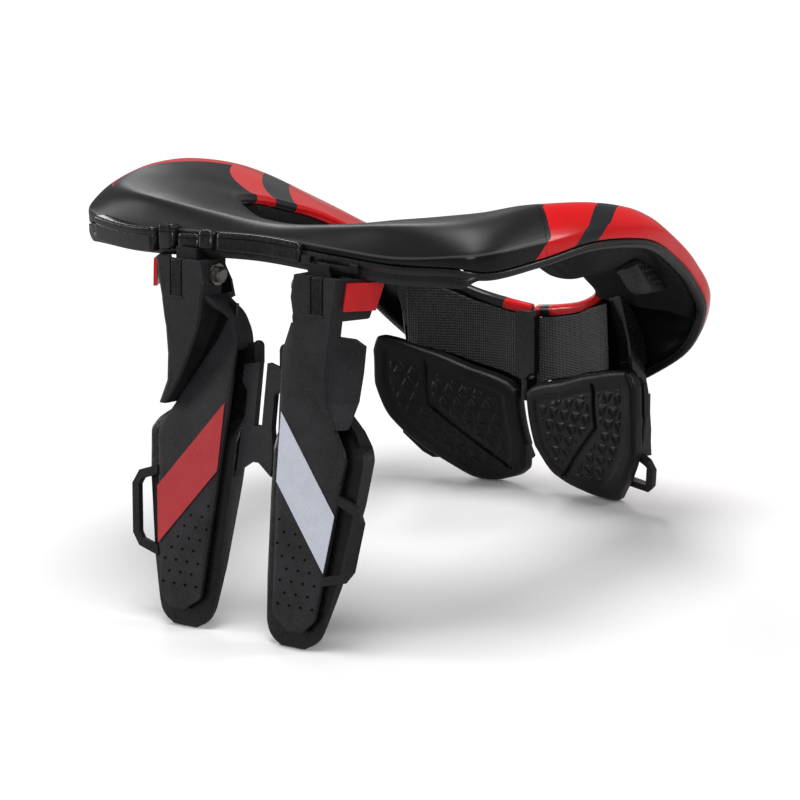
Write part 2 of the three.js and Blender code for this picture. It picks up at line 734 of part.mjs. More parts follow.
function barAlong(points, halfWidth, halfDepth, across) {
  const rings = points.map((point, i) => {
    const before = points[Math.max(0, i - 1)];
    const after = points[Math.min(points.length - 1, i + 1)];
    const along = after.clone().sub(before).normalize();
    const side = new THREE.Vector3().crossVectors(along, across).normalize();
    return [[-1, -1], [1, -1], [1, 1], [-1, 1]].map(([u, v]) =>
      point.clone().addScaledVector(side, u * halfWidth).addScaledVector(across, v * halfDepth),
    );
  });
  const flat = [[-1, -1], [1, -1], [1, 1], [-1, 1]].map(([u, v]) => new THREE.Vector2(u, v));
  return loft(rings, flat, flat);
}

function finEdge(down) {
  const i = FIN_ROWS.findIndex((row) => row.down >= down);
  const t = (down - FIN_ROWS[i - 1].down) / (FIN_ROWS[i].down - FIN_ROWS[i - 1].down);
  return THREE.MathUtils.lerp(FIN_ROWS[i - 1].outer, FIN_ROWS[i].outer, t) * FIN_HALF_SPAN;
}

function buildFinLoops() {
  const points = FIN_LOOP_PATH.map(({ out, down }) => {
    const z = finZ(down);
    const x = finEdge(down) - LOOP_BAR / 2 + out * (LOOP_REACH + LOOP_BAR / 2);
    return new THREE.Vector3(x, finFaceY(z) + FIN_PLATE / 2, z);
  });
  const across = new THREE.Vector3(0, 1, -FIN_LEAN).normalize();
  const bar = barAlong(points, LOOP_BAR / 2, FIN_PLATE / 2, across);
  addPair("fin_strap_loop", cut(bar, finPlate(GAP, FIN_PLATE)), "nylon");
}

// Bridge between the fins: two prongs with a slit between them over a foot that reaches both fins.
const BRIDGE_OUTLINE = [
  { out: 0.04, down: 0.15 },
  { out: 0.2, down: 0.165 },
  { out: 0.21, down: 0.22 },
  { out: 0.145, down: 0.25 },
  { out: 0.145, down: 0.36 },
  { out: 0.175, down: 0.42 },
  { out: 0.185, down: 0.52 },
  { out: 0.04, down: 0.48 },
];

function buildBridge() {
  const shape = new THREE.Shape();
  const half = BRIDGE_SLIT / 2;
  const right = BRIDGE_OUTLINE.map(({ out, down }) => [Math.max(out * FIN_HALF_SPAN, half), finZ(down)]);
  const left = right.map(([x, z]) => [-x, z]).reverse();
  const slitFoot = finZ(0.36);
  const outline = [...right, ...left, [-half, slitFoot], [half, slitFoot]];
  outline.forEach(([x, z], i) => (i ? shape.lineTo(x, z) : shape.moveTo(x, z)));
  const slab = new THREE.ExtrudeGeometry(shape, { depth: BRIDGE_PLATE, bevelEnabled: false });
  slab.rotateX(Math.PI / 2); // the outline's height now runs along +Z, its thickness along -Y
  const middle = finZ(0.3);
  slab.applyMatrix4(new THREE.Matrix4().makeShear(0, 0, 0, 0, 0, FIN_LEAN));
  slab.translate(0, finFaceY(middle) - FIN_LEAN * middle + FIN_PLATE + BRIDGE_PLATE + 2, 0);
  addPiece("fin_bridge", toGeometry(toSolid(slab)), "nylon");
}

// Chest pads: swept forward at the foot and wrapped round the chest at the sides.
// side is a share of PAD_HALF_SPAN; top and foot are shares of PAD_HEIGHT over the lowest point.
const PAD_ROWS = [
  { side: 0.035, top: 0.7, foot: 0.36 },
  { side: 0.09, top: 0.76, foot: 0.15 },
  { side: 0.2, top: 0.8, foot: 0.07 },
  { side: 0.36, top: 0.84, foot: 0.015 },
  { side: 0.5, top: 0.89, foot: 0 },
  { side: 0.56, top: 0.91, foot: 0.01 },
  { side: 0.68, top: 0.94, foot: 0.12 },
  { side: 0.76, top: 0.965, foot: 0.19 },
  { side: 0.88, top: 0.99, foot: 0.33 },
  { side: 0.96, top: 1, foot: 0.46 },
  { side: 1, top: 0.96, foot: 0.62 },
];

function chestY(x, z) {
  const below = (-z - 0.625 * PAD_DROP) / (0.376 * PAD_DROP);
  const side = Math.abs(x) / PAD_HALF_SPAN;
  const flare = PAD_FLARE * (0.8 + 0.2 * Math.min(1, 2 * side));
  return PAD_INNER_Y - PAD_WRAP * side + flare * below * Math.abs(below);
}

function chestPlate(rows, divisions, bevel, offset, thickness) {
  return plate(
    rows,
    divisions,
    bevel,
    () => thickness,
    (row, z, d) => new THREE.Vector3(row.x, chestY(row.x, z) + offset + d, z),
  );
}

function padZ(share) {
  return -PAD_DROP + share * PAD_HEIGHT;
}

function padRows(inset) {
  return PAD_ROWS.map(({ side, top, foot }) => ({
    x: side * PAD_HALF_SPAN,
    low: padZ(foot) + inset,
    high: padZ(top) - inset,
  }));
}

const CARRIER_FACE = PAD_THICKNESS + 2 * GAP;

// The plate in front of a pad, or the room it takes up with a clearance round it and past both faces.
function carrierPlate(clearance, past) {
  const rows = padRows(CARRIER_INSET - clearance).slice(1);
  return chestPlate(rows, 6, past ? 0.01 : 0.8, CARRIER_FACE - past, CARRIER_PLATE + 2 * past);
}

function buildChestPads() {
  addPair("chest_pad", chestPlate(padRows(0), 6, 2.5, 0, PAD_THICKNESS), "padFoam");
  addPair("pad_carrier", carrierPlate(0, 0), "nylon");
}

// Strap loop at the outer lower corner of a pad's carrier. side and up are shares as in PAD_ROWS.
const CHEST_LOOP_PATH = [
  { side: 0.84, up: 0.41 },
  { side: 0.93, up: 0.35 },
  { side: 0.94, up: 0.31 },
  { side: 0.865, up: 0.18 },
  { side: 0.83, up: 0.15 },
  { side: 0.66, up: 0.17 },
];

function buildChestLoops() {
  const points = CHEST_LOOP_PATH.map(({ side, up }) => {
    const x = side * PAD_HALF_SPAN;
    const z = padZ(up);
    return new THREE.Vector3(x, chestY(x, z) + CARRIER_FACE + CARRIER_PLATE / 2 + 2 * GAP, z);
  });
  const across = new THREE.Vector3(0.2, 1, 0.45).normalize();
  const bar = barAlong(points, LOOP_BAR / 2, CARRIER_PLATE / 2, across);
  addPair("chest_strap_loop", cut(bar, carrierPlate(GAP, CARRIER_PLATE)), "nylon");
}

// Strut from the foam under the arm down the outer side of a pad's carrier. side is a share of
// PAD_HALF_SPAN, down of FRONT_DROP and reach of STRUT_REACH, forward of the carrier's face.
const STRUT_ROWS = [
  { down: 0.34, back: -0.95, reach: -0.1 },
  { down: 0.5, back: -0.5, reach: 0.25 },
  { down: 0.62, back: -0.15, reach: 0.65 },
  { down: 0.72, back: 0, reach: 0.85 },
  { down: 0.88, back: 0, reach: 0.9 },
  { down: 1.03, back: 0, reach: 0.8 },
  { down: 1.15, back: 0, reach: 0.45 },
];

// A table's row at a share of its length, with values between its rows mixed.
function rowAt(rows, share) {
  const place = share * (rows.length - 1);
  const i = Math.min(Math.floor(place), rows.length - 2);
  const mixed = {};
  for (const key of Object.keys(rows[i])) {
    mixed[key] = THREE.MathUtils.lerp(rows[i][key], rows[i + 1][key], place - i);
  }
  return mixed;
}

function buildChestStruts() {
  const outer = 0.87 * PAD_HALF_SPAN;
  const inner = outer - STRUT_WIDTH;
  const ring = ({ down, back, reach }) => {
    const z = -down * FRONT_DROP;
    const level = Math.min(z, padZ(1));
    const face = (x) => chestY(x, level) + CARRIER_FACE + CARRIER_PLATE + 2 * GAP;
    const from = back * STRUT_REACH;
    const to = reach * STRUT_REACH;
    return [
      new THREE.Vector3(inner, face(inner) + from, z),
      new THREE.Vector3(outer - 1, face(outer - 1) + from, z),
      new THREE.Vector3(outer, face(outer) + from + 1, z),
      new THREE.Vector3(outer + 1.5, face(outer) + to, z),
      new THREE.Vector3(outer - 1.5, face(outer) + to + 1, z),
      new THREE.Vector3(outer - 2.5, face(outer) + from + STRUT_WALL, z),
      new THREE.Vector3(inner, face(inner) + from + STRUT_WALL, z),
    ];
  };
  const steps = 2 * (STRUT_ROWS.length - 1);
  const rings = [];
  for (let i = 0; i <= steps; i++) rings.push(ring(rowAt(STRUT_ROWS, i / steps)));
  const flat = (points) => points.map((p) => new THREE.Vector2(p.x, p.y));
  const bar = loft(rings, flat(rings[0]), flat(rings[steps]));
  addPair("chest_strut", cut(bar, underArm(9, 14.5), carrierPlate(GAP, 0.2)), "nylon");
}

// The room that an arm takes up above its foam, with the clearance, to cut what seats against it.
function underArm(from, to) {
  return alongCollar(from, to, 24, (frame) => {
    const outer = frame.width - RIM_WIDTH - FOAM_INSET;
    const under = [0, 0.25, 0.5, 0.75, 0.95].map((share) => [
      outer * share,
      Math.min(foamUnderside(frame, share), -frame.band * share - GAP) - GAP,
    ]);
    return [
      [-8, under[0][1]],
      ...under,
      [outer, -frame.band - RIM_HEIGHT - 2 * GAP],
      [frame.width + 8, -frame.band - RIM_HEIGHT - 2 * GAP],
      [frame.width + 8, 2 * CROWN],
      [-8, 2 * CROWN],
    ];
  });
}

// Mesh panel between the collar's front lip and the top of a pad. side is a share of
// MESH_HALF_SPAN and down of FRONT_DROP.
const MESH_ROWS = [
  { side: 0.045, down: 0.596 },
  { side: 0.23, down: 0.581 },
  { side: 0.5, down: 0.548 },
  { side: 0.73, down: 0.497 },
  { side: 0.88, down: 0.468 },
  { side: 1, down: 0.447 },
];

function padTop(x) {
  const side = x / PAD_HALF_SPAN;
  const i = Math.max(1, PAD_ROWS.findIndex((row) => row.side >= side));
  const t = (side - PAD_ROWS[i - 1].side) / (PAD_ROWS[i].side - PAD_ROWS[i - 1].side);
  return padZ(THREE.MathUtils.lerp(PAD_ROWS[i - 1].top, PAD_ROWS[i].top, t));
}

function buildMeshPanels() {
  const rows = MESH_ROWS.map(({ side, down }) => {
    const x = side * MESH_HALF_SPAN;
    return { x, low: padTop(x) + GAP, high: -down * FRONT_DROP };
  });
  const panel = plate(
    rows,
    4,
    0.5,
    () => MESH_THICKNESS,
    ({ x, low, high }, z, d) => {
      const top = MESH_FRONT_Y - MESH_BOW * (x / MESH_HALF_SPAN) ** 2;
      const foot = Math.max(top, chestY(x, low) + PAD_THICKNESS / 3);
      return new THREE.Vector3(x, THREE.MathUtils.lerp(foot, top, (z - low) / (high - low)) + d, z);
    },
  );
  addPair("mesh_panel", panel, "mesh");
}

// Clasp that holds the collar's two front ends together, with a tongue down between the pads.
const CLASP_ROWS = [
  { down: 0.56, width: 0.7 },
  { down: 0.58, width: 1 },
  { down: 0.84, width: 1 },
  { down: 0.875, width: 0.3 },
  { down: 0.97, width: 0.3 },
];

function buildClasp() {
  const front = MESH_FRONT_Y - 2 * GAP;
  const rows = CLASP_ROWS.map(({ down, width }) => ({
    z: -down * FRONT_DROP,
    low: (-width * CLASP_WIDTH) / 2,
    high: (width * CLASP_WIDTH) / 2,
  }));
  const body = plate(rows, 2, 1.5, () => CLASP_DEPTH, (row, x, d) =>
    new THREE.Vector3(x, front - CLASP_DEPTH + d, row.z),
  );
  addPiece("front_clasp", body, "nylon");
}

// Rounded peg for a strap, beside the inner edge of a fin's backing.
function buildPegs() {
  const profile = [[0, 0]];
  for (let i = 1; i <= 3; i++) {
    const turn = (i / 3) * (Math.PI / 2);
    profile.push([PEG_RADIUS * Math.sin(turn), PEG_RADIUS * (1 - Math.cos(turn))]);
  }
  for (let i = 3; i >= 1; i--) {
    const turn = (i / 3) * (Math.PI / 2);
    profile.push([PEG_RADIUS * Math.sin(turn), PEG_LENGTH - PEG_RADIUS * (1 - Math.cos(turn))]);
  }
  profile.push([0, PEG_LENGTH]);
  const peg = new THREE.LatheGeometry(profile.map(([r, h]) => new THREE.Vector2(r, h)), 10);
  const z = finZ(0.18);
  const edge = BACKING_ROWS[0].inner * FIN_HALF_SPAN;
  peg.rotateX(Math.PI / 2).translate(edge - PEG_RADIUS - 2 * GAP, finFaceY(z) + FIN_PLATE + BACKING_DEPTH * 0.75, z);
  addPair("strap_peg", toGeometry(toSolid(peg)), "nylon");
}

// Wedge under the foam on the shoulder.
function buildShoulderWedges() {
  const from = 8.6;
  const to = 10.4;
  const wedge = alongCollar(from, to, 8, (frame) => {
    const t = (frame.station - from) / (to - from);
    const hang = WEDGE_HANG * (0.15 + 0.85 * Math.sin(Math.PI * t));
    const outer = frame.width - RIM_WIDTH - FOAM_INSET;
    const top = (share) => Math.min(foamUnderside(frame, share), -frame.band * share - GAP) - GAP;
    return [
      [0.5 * outer, top(0.5)],
      [0.75 * outer, top(0.75)],
      [0.75 * outer, top(0.75) - hang * 0.5],
      [0.7 * outer, top(0.5) - hang],
      [0.55 * outer, top(0.5) - hang],
    ];
  });
  addPair("shoulder_wedge", wedge, "rubber");
}

const BUILDERS = [
  buildCollarShells,
  buildEdgeRims,
  buildFoam,
  buildShoulderWedges,
  buildMeshPanels,
  buildClasp,
  buildChestStruts,
  buildChestPads,
  buildChestLoops,
  buildChassis,
  buildClips,
  buildArms,
  buildBolts,
  buildAdjusters,
  buildFins,
  buildFinLoops,
  buildBridge,
  buildPegs,
];
BUILDERS.forEach((build) => build());

// Lowest height of the brace's back or front once it is tipped forward by an angle.
function lowest(angle, side) {
  let low = Infinity;
  const point = new THREE.Vector3();
  for (const mesh of brace.children) {
    const p = mesh.geometry.getAttribute("position");
    for (let i = 0; i < p.count; i++) {
      point.fromBufferAttribute(p, i);
      if (Math.sign(point.y) !== side) continue;
      low = Math.min(low, point.z * Math.cos(angle) - point.y * Math.sin(angle));
    }
  }
  return low;
}

// Forward tip at which the fins and the chest pads stand on one plane.
function restAngle() {
  let small = -0.4;
  let large = 0.6;
  for (let i = 0; i < 30; i++) {
    const middle = (small + large) / 2;
    if (lowest(middle, -1) < lowest(middle, 1)) small = middle;
    else large = middle;
  }
  return (small + large) / 2;
}

const tipped = new THREE.Group();
tipped.add(brace);
brace.rotation.x = -restAngle();
tipped.updateMatrixWorld(true);
const bounds = new THREE.Box3().setFromObject(tipped, true);
const centre = bounds.getCenter(new THREE.Vector3());
brace.position.set(-centre.x, -centre.y, -bounds.min.z);

export default tipped;
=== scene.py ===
"""Looks of a motocross neck brace: a painted collar, textured struts and fins, moulded pads and mesh."""
import math
import bmesh
import bpy
import numpy as np
from mathutils import Matrix, Vector


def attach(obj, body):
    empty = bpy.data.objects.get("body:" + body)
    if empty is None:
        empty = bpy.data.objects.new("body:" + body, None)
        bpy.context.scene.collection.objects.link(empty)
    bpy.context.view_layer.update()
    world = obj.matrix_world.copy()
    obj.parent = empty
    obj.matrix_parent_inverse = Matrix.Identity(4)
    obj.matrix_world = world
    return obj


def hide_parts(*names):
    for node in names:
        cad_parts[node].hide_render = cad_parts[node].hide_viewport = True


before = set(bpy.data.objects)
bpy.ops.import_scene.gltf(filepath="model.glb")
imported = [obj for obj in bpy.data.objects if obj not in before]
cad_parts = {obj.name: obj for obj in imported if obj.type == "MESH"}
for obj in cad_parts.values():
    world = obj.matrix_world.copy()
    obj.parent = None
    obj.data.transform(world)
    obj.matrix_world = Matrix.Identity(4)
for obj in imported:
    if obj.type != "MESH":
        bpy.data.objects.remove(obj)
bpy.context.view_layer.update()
scene = bpy.context.scene

# Shapes are worked out in millimetres in the frame of the wearer, who faces +Y. The brace at rest is
# that frame tipped forward and lifted onto the floor. GAP is the clearance between neighbouring parts.
MM = 0.001
TIP = math.radians(7.975929)
LIFT = np.array([0.0, 29.109965, 179.574701])
GAP = 0.35


def at_rest(points):
    """Metres in the scene from millimetres in the wearer's frame."""
    p = np.asarray(points, float)
    c, s = math.cos(TIP), math.sin(TIP)
    turned = np.stack([p[..., 0], p[..., 1] * c + p[..., 2] * s, p[..., 2] * c - p[..., 1] * s], axis=-1)
    return (turned + LIFT) * MM


# Collar stations from the middle of the back to the middle of the front: lip x, y, drop; edge x, y,
# drop; crest's place and height; band height; foam depth. Shares of the sizes below.
HALF_WIDTH, HALF_LENGTH, FRONT_DROP, CROWN, BAND, FOAM = 140, 118, 117, 18, 9, 20
COLUMNS = [HALF_WIDTH, HALF_LENGTH, -FRONT_DROP, HALF_WIDTH, HALF_LENGTH, -FRONT_DROP, 1, CROWN, BAND, FOAM]
STATIONS = np.array([
    [0, -0.576, 0.051, 0, -0.975, 0.017, 0.8, 0.33, 0.33, 0.2],
    [0.243, -0.593, 0.034, 0.321, -0.992, 0.03, 0.8, 0.56, 0.33, 0.2],
    [0.4, -0.559, -0.017, 0.6, -0.983, 0.043, 0.8, 0.78, 0.36, 0.2],
    [0.486, -0.475, -0.043, 0.829, -0.941, 0.017, 0.74, 0.72, 0.6, 0.2],
    [0.529, -0.356, -0.034, 0.936, -0.839, 0, 0.72, 0.76, 1, 0.3],
    [0.55, -0.22, -0.009, 0.979, -0.576, -0.026, 0.78, 0.84, 0.95, 0.45],
    [0.557, -0.068, 0.034, 1, -0.288, -0.06, 0.84, 0.66, 0.9, 0.6],
    [0.557, 0.085, 0.077, 0.993, 0, -0.043, 0.87, 0.5, 0.9, 0.9],
    [0.543, 0.237, 0.137, 0.971, 0.212, 0, 0.87, 0.38, 0.9, 0.68],
    [0.514, 0.39, 0.214, 0.936, 0.419, 0.094, 0.85, 0.36, 0.9, 0.3],
    [0.471, 0.525, 0.291, 0.9, 0.622, 0.22, 0.8, 0.46, 0.9, 0.14],
    [0.429, 0.661, 0.368, 0.855, 0.8, 0.393, 0.7, 0.7, 0.9, 0.12],
    [0.357, 0.754, 0.436, 0.725, 0.9, 0.615, 0.62, 0.85, 0.9, 0.2],
    [0.243, 0.822, 0.496, 0.479, 0.924, 0.812, 0.5, 0.52, 0.9, 0.2],
    [0.114, 0.856, 0.53, 0.236, 0.966, 0.932, 0.45, 0.44, 0.9, 0.2],
    [0.014, 0.873, 0.547, 0.014, 0.975, 0.974, 0.4, 0.39, 0.9, 0.2],
]) * COLUMNS
LAST = len(STATIONS) - 1
FLIP = np.array([-1, 1, 1, -1, 1, 1, 1, 1, 1, 1])
ALL_STATIONS = np.vstack([(STATIONS * FLIP)[:0:-1], STATIONS])
# The shell's wall, how far the lip's bead reaches across and down, the edge rim and the room beside it.
WALL, LIP_BEAD, LIP_TURN = 3, 5, 4.5
RIM_WIDTH, RIM_HEIGHT, RIM_ROOM = 5, 4, 1.2
# The paint's coordinates: u covers the stations from -U_REACH to U_REACH, and v is V_SCALE at the crease.
U_REACH, V_SCALE = 16.0, 0.8


def spline(s):
    """Rows of the station table at stations s, which run from -LAST to LAST."""
    first = 2 * ALL_STATIONS[0] - ALL_STATIONS[1]
    final = 2 * ALL_STATIONS[-1] - ALL_STATIONS[-2]
    table = np.vstack([first, ALL_STATIONS, final])
    place = np.clip(np.asarray(s, float) + LAST, 0, 2 * LAST)
    i = np.minimum(place.astype(int), 2 * LAST - 1)
    t = (place - i)[:, None]
    p0, p1, p2, p3 = (table[i + k] for k in range(4))
    m1, m2 = (p2 - p0) / 2, (p3 - p1) / 2
    return ((2 * t**3 - 3 * t**2 + 1) * p1 + (t**3 - 2 * t**2 + t) * m1
            + (3 * t**2 - 2 * t**3) * p2 + (t**3 - t**2) * m2)


class Sections:
    """The collar's cross-section frames at stations s: across from lip to edge, out away from the wearer."""

    def __init__(self, s):
        self.s = np.asarray(s, float)
        rows = spline(self.s)
        self.lip = rows[:, 0:3]
        across = rows[:, 3:6] - self.lip
        self.width = np.linalg.norm(across, axis=1)
        self.across = across / self.width[:, None]
        nearby = 0.25
        before, after = spline(self.s - nearby), spline(self.s + nearby)
        along = (after[:, 0:3] + after[:, 3:6] - before[:, 0:3] - before[:, 3:6]) / 2
        out = np.cross(self.across, along)
        self.out = out / np.linalg.norm(out, axis=1)[:, None]
        self.crest, self.crown, self.band, self.foam = rows[:, 6], rows[:, 7], rows[:, 8], rows[:, 9]

    def height(self, share):
        """The crown's height at a share of the width."""
        rising = self.crown * np.sin(share / self.crest * math.pi / 2)
        past = (share - self.crest) / (1 - self.crest)
        return np.where(share <= self.crest, rising, self.crown * (1 - past**2))

    def point(self, a, b):
        """The points that lie a across from the lip and b out."""
        a = np.broadcast_to(np.asarray(a, float), self.s.shape)[:, None]
        b = np.broadcast_to(np.asarray(b, float), self.s.shape)[:, None]
        return self.lip + a * self.across + b * self.out


def add_object(name, points, faces, material, smooth=True, uv=None, bevel=0.0, angle=40):
    """A mesh object from points in the wearer's frame, riding on the brace."""
    mesh = bpy.data.meshes.new(name)
    mesh.from_pydata(at_rest(points).tolist(), [], faces)
    if uv is not None:
        layer = mesh.uv_layers.new(name="lay")
        index = np.zeros(len(mesh.loops), int)
        mesh.loops.foreach_get("vertex_index", index)
        layer.data.foreach_set("uv", np.asarray(uv, float)[index].ravel())
    work = bmesh.new()
    work.from_mesh(mesh)
    bmesh.ops.recalc_face_normals(work, faces=work.faces)
    work.to_mesh(mesh)
    work.free()
    if smooth:
        mesh.shade_smooth()
        mesh.set_sharp_from_angle(angle=math.radians(angle))
    else:
        mesh.shade_flat()
    piece = bpy.data.objects.new(name, mesh)
    scene.collection.objects.link(piece)
    mesh.materials.append(material)
    if bevel:
        add_bevel(piece, bevel)
    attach(piece, "root")
    return piece


def add_bevel(piece, width):
    """Rounds a piece's sharper edges by a width in millimetres."""
    bevel = piece.modifiers.new("edges", "BEVEL")
    bevel.width = width * MM
    bevel.segments = 2
    bevel.limit_method = "ANGLE"
    bevel.angle_limit = math.radians(28)
    bevel.use_clamp_overlap = True


def grid_faces(rows, columns, start=0, closed=True):
    """Faces between the rows of a grid of points; a closed grid's last column meets its first."""
    faces = []
    for r in range(rows - 1):
        for c in range(columns if closed else columns - 1):
            d = (c + 1) % columns
            faces.append((start + r * columns + c, start + r * columns + d,
                          start + (r + 1) * columns + d, start + (r + 1) * columns + c))
    return faces


def along_collar(name, start, end, steps, outline, material, uv_rows=None, angle=40):
    """A closed body along the collar; outline gives a list of (across, out) for a set of sections."""
    sections = Sections(np.linspace(start, end, steps + 1))
    ring = outline(sections)
    points = np.stack([sections.point(a, b) for a, b in ring], axis=1)
    columns = len(ring)
    faces = grid_faces(steps + 1, columns)
    faces.append(tuple(range(columns)))
    faces.append(tuple(range(steps * columns, (steps + 1) * columns)))
    uv = None
    if uv_rows is not None:
        u = np.broadcast_to(((sections.s + U_REACH) / (2 * U_REACH))[:, None], (steps + 1, columns))
        v = np.broadcast_to(np.asarray(uv_rows)[None, :], (steps + 1, columns))
        uv = np.stack([u, v], axis=-1).reshape(-1, 2)
    return add_object(name, points.reshape(-1, 3), faces, material, uv=uv, angle=angle)


def distance_to_loop(px, py, loop):
    """Least distance from points to a closed outline."""
    best = np.full(px.shape, np.inf)
    for (ax, ay), (bx, by) in zip(loop, np.roll(loop, -1, axis=0)):
        dx, dy = bx - ax, by - ay
        length = dx * dx + dy * dy
        t = np.clip(((px - ax) * dx + (py - ay) * dy) / (length if length else 1), 0, 1)
        best = np.minimum(best, np.hypot(px - ax - t * dx, py - ay - t * dy))
    return best


def slab(name, places, low, high, columns, point, depth, near_round, far_round, material, relief=None):
    """A rounded body between two faces.

    places run one way and low to high the other. point turns a place, a value and a depth into a point,
    and depth is one thickness or one for each place.
    """
    even, bunched = 0.35, 0.65
    t = np.linspace(0, 1, columns + 1)
    t = t * even + bunched * (0.5 - 0.5 * np.cos(math.pi * t))
    place = np.broadcast_to(places[:, None], (len(places), columns + 1))
    value = low[:, None] + (high - low)[:, None] * t[None, :]
    loop = np.array([*zip(places, low), *zip(places[::-1], high[::-1])])
    edge = distance_to_loop(place, value, loop)

    def drop(radius):
        inside = 1 - np.minimum(edge / radius, 1)
        return radius * (1 - np.sqrt(np.maximum(0, 1 - inside**2)))

    near = drop(near_round)
    if relief is not None:
        near = near + relief(place, value, edge)
    far = np.reshape(depth, (-1, 1)) - drop(far_round)
    points = np.concatenate([point(place, value, side).reshape(-1, 3) for side in (near, far)])
    index = np.arange(place.size).reshape(place.shape)
    faces = grid_faces(*place.shape, closed=False) + grid_faces(*place.shape, place.size, closed=False)
    rim = np.concatenate([index[0], index[1:, -1], index[-1, -2::-1], index[-2:0:-1, 0]]).tolist()
    for a, b in zip(rim, rim[1:] + rim[:1]):
        faces.append((a, b, place.size + b, place.size + a))
    lay = np.stack([place, value], axis=-1).reshape(-1, 2)
    return add_object(name, points, faces, material, uv=np.concatenate([lay, lay]), angle=50)


# Materials
RED = (0.62, 0.004, 0.006)


class Wire:
    """A number in a material's node tree, with sums, products and comparisons."""

    def __init__(self, tree, socket):
        self.tree, self.socket = tree, socket

    def _math(self, operation, *others):
        node = self.tree.nodes.new("ShaderNodeMath")
        node.operation = operation
        for i, value in enumerate((self, *others)):
            if isinstance(value, Wire):
                self.tree.links.new(value.socket, node.inputs[i])
            else:
                node.inputs[i].default_value = value
        return Wire(self.tree, node.outputs[0])

    def __add__(self, other):
        return self._math("ADD", other)

    def __sub__(self, other):
        return self._math("SUBTRACT", other)

    def __mul__(self, other):
        return self._math("MULTIPLY", other)

    def above(self, other):
        return self._math("GREATER_THAN", other)

    def below(self, other):
        return self._math("LESS_THAN", other)

    def size(self):
        return self._math("ABSOLUTE")

    def wave(self):
        return self._math("SINE")

    def both(self, other):
        return self._math("MINIMUM", other)

    def either(self, other):
        return self._math("MAXIMUM", other)

    def flipped(self):
        return self._math("MULTIPLY_ADD", -1.0, 1.0)

    def ramp(self, low, high, start, end):
        """From start to end as this number goes from low to high, and level beyond them."""
        node = self.tree.nodes.new("ShaderNodeMapRange")
        self.tree.links.new(self.socket, node.inputs[0])
        for i, value in enumerate((low, high, start, end)):
            node.inputs[i + 1].default_value = value
        return Wire(self.tree, node.outputs[0])


class Finish:
    """A material built step by step round one principled shader."""

    def __init__(self, name, color, roughness, **settings):
        self.material = bpy.data.materials.new(name)
        self.material.use_nodes = True
        self.tree = self.material.node_tree
        self.shader = self.tree.nodes["Principled BSDF"]
        self.shader.inputs["Base Color"].default_value = (*color, 1)
        self.shader.inputs["Roughness"].default_value = roughness
        for key, value in settings.items():
            self.shader.inputs[key.replace("_", " ")].default_value = value
        self.height = None

    def coordinates(self, kind="Object"):
        node = self.tree.nodes.new("ShaderNodeTexCoord")
        return node.outputs[kind]

    def axes(self, socket):
        node = self.tree.nodes.new("ShaderNodeSeparateXYZ")
        self.tree.links.new(socket, node.inputs[0])
        return [Wire(self.tree, output) for output in node.outputs]

    def noise(self, scale, detail, roughness=0.55):
        node = self.tree.nodes.new("ShaderNodeTexNoise")
        self.tree.links.new(self.coordinates(), node.inputs["Vector"])
        node.inputs["Scale"].default_value = scale
        node.inputs["Detail"].default_value = detail
        node.inputs["Roughness"].default_value = roughness
        return Wire(self.tree, node.outputs["Fac"])

    def cells(self, scale):
        node = self.tree.nodes.new("ShaderNodeTexVoronoi")
        self.tree.links.new(self.coordinates(), node.inputs["Vector"])
        node.inputs["Scale"].default_value = scale
        return Wire(self.tree, node.outputs["Distance"])

    def mix(self, factor, first, second):
        node = self.tree.nodes.new("ShaderNodeMix")
        node.data_type = "RGBA"
        self.tree.links.new(factor.socket, node.inputs[0])
        for i, value in ((6, first), (7, second)):
            if isinstance(value, tuple):
                node.inputs[i].default_value = (*value, 1)
            else:
                self.tree.links.new(value, node.inputs[i])
        return node.outputs[2]

    def color(self, socket):
        self.tree.links.new(socket, self.shader.inputs["Base Color"])

    def drive(self, setting, wire):
        self.tree.links.new(wire.socket, self.shader.inputs[setting])

    def rough(self, wire):
        self.drive("Roughness", wire)

    def bump(self, wire, distance, strength=1.0):
        node = self.tree.nodes.new("ShaderNodeBump")
        node.inputs["Distance"].default_value = distance * MM
        node.inputs["Strength"].default_value = strength
        self.tree.links.new(wire.socket, node.inputs["Height"])
        if self.height is not None:
            self.tree.links.new(self.height, node.inputs["Normal"])
        self.height = node.outputs[0]
        self.tree.links.new(self.height, self.shader.inputs["Normal"])


def make_moulded(name, dark, light, roughness, grain=900, depth=0.12, specular=0.24):
    """Moulded plastic with a spark-eroded grain: fine bumps, faint colour mottle and uneven gloss."""
    finish = Finish(name, dark, roughness, Specular_IOR_Level=specular)
    mottle = finish.noise(60, 4)
    fine = finish.noise(grain, 2, 0.7)
    flecks = finish.cells(grain * 0.9).ramp(0.0, 0.28, 0.55, 0.0)
    paleness = mottle.ramp(0.3, 0.7, 0, 1) * 0.4 + fine.ramp(0.35, 0.75, 0, 0.4) + flecks
    finish.color(finish.mix(paleness, dark, light))
    finish.rough(fine.ramp(0.3, 0.7, roughness - 0.08, roughness + 0.1) + mottle.ramp(0.3, 0.7, -0.04, 0.04))
    finish.bump(fine, depth)
    return finish.material


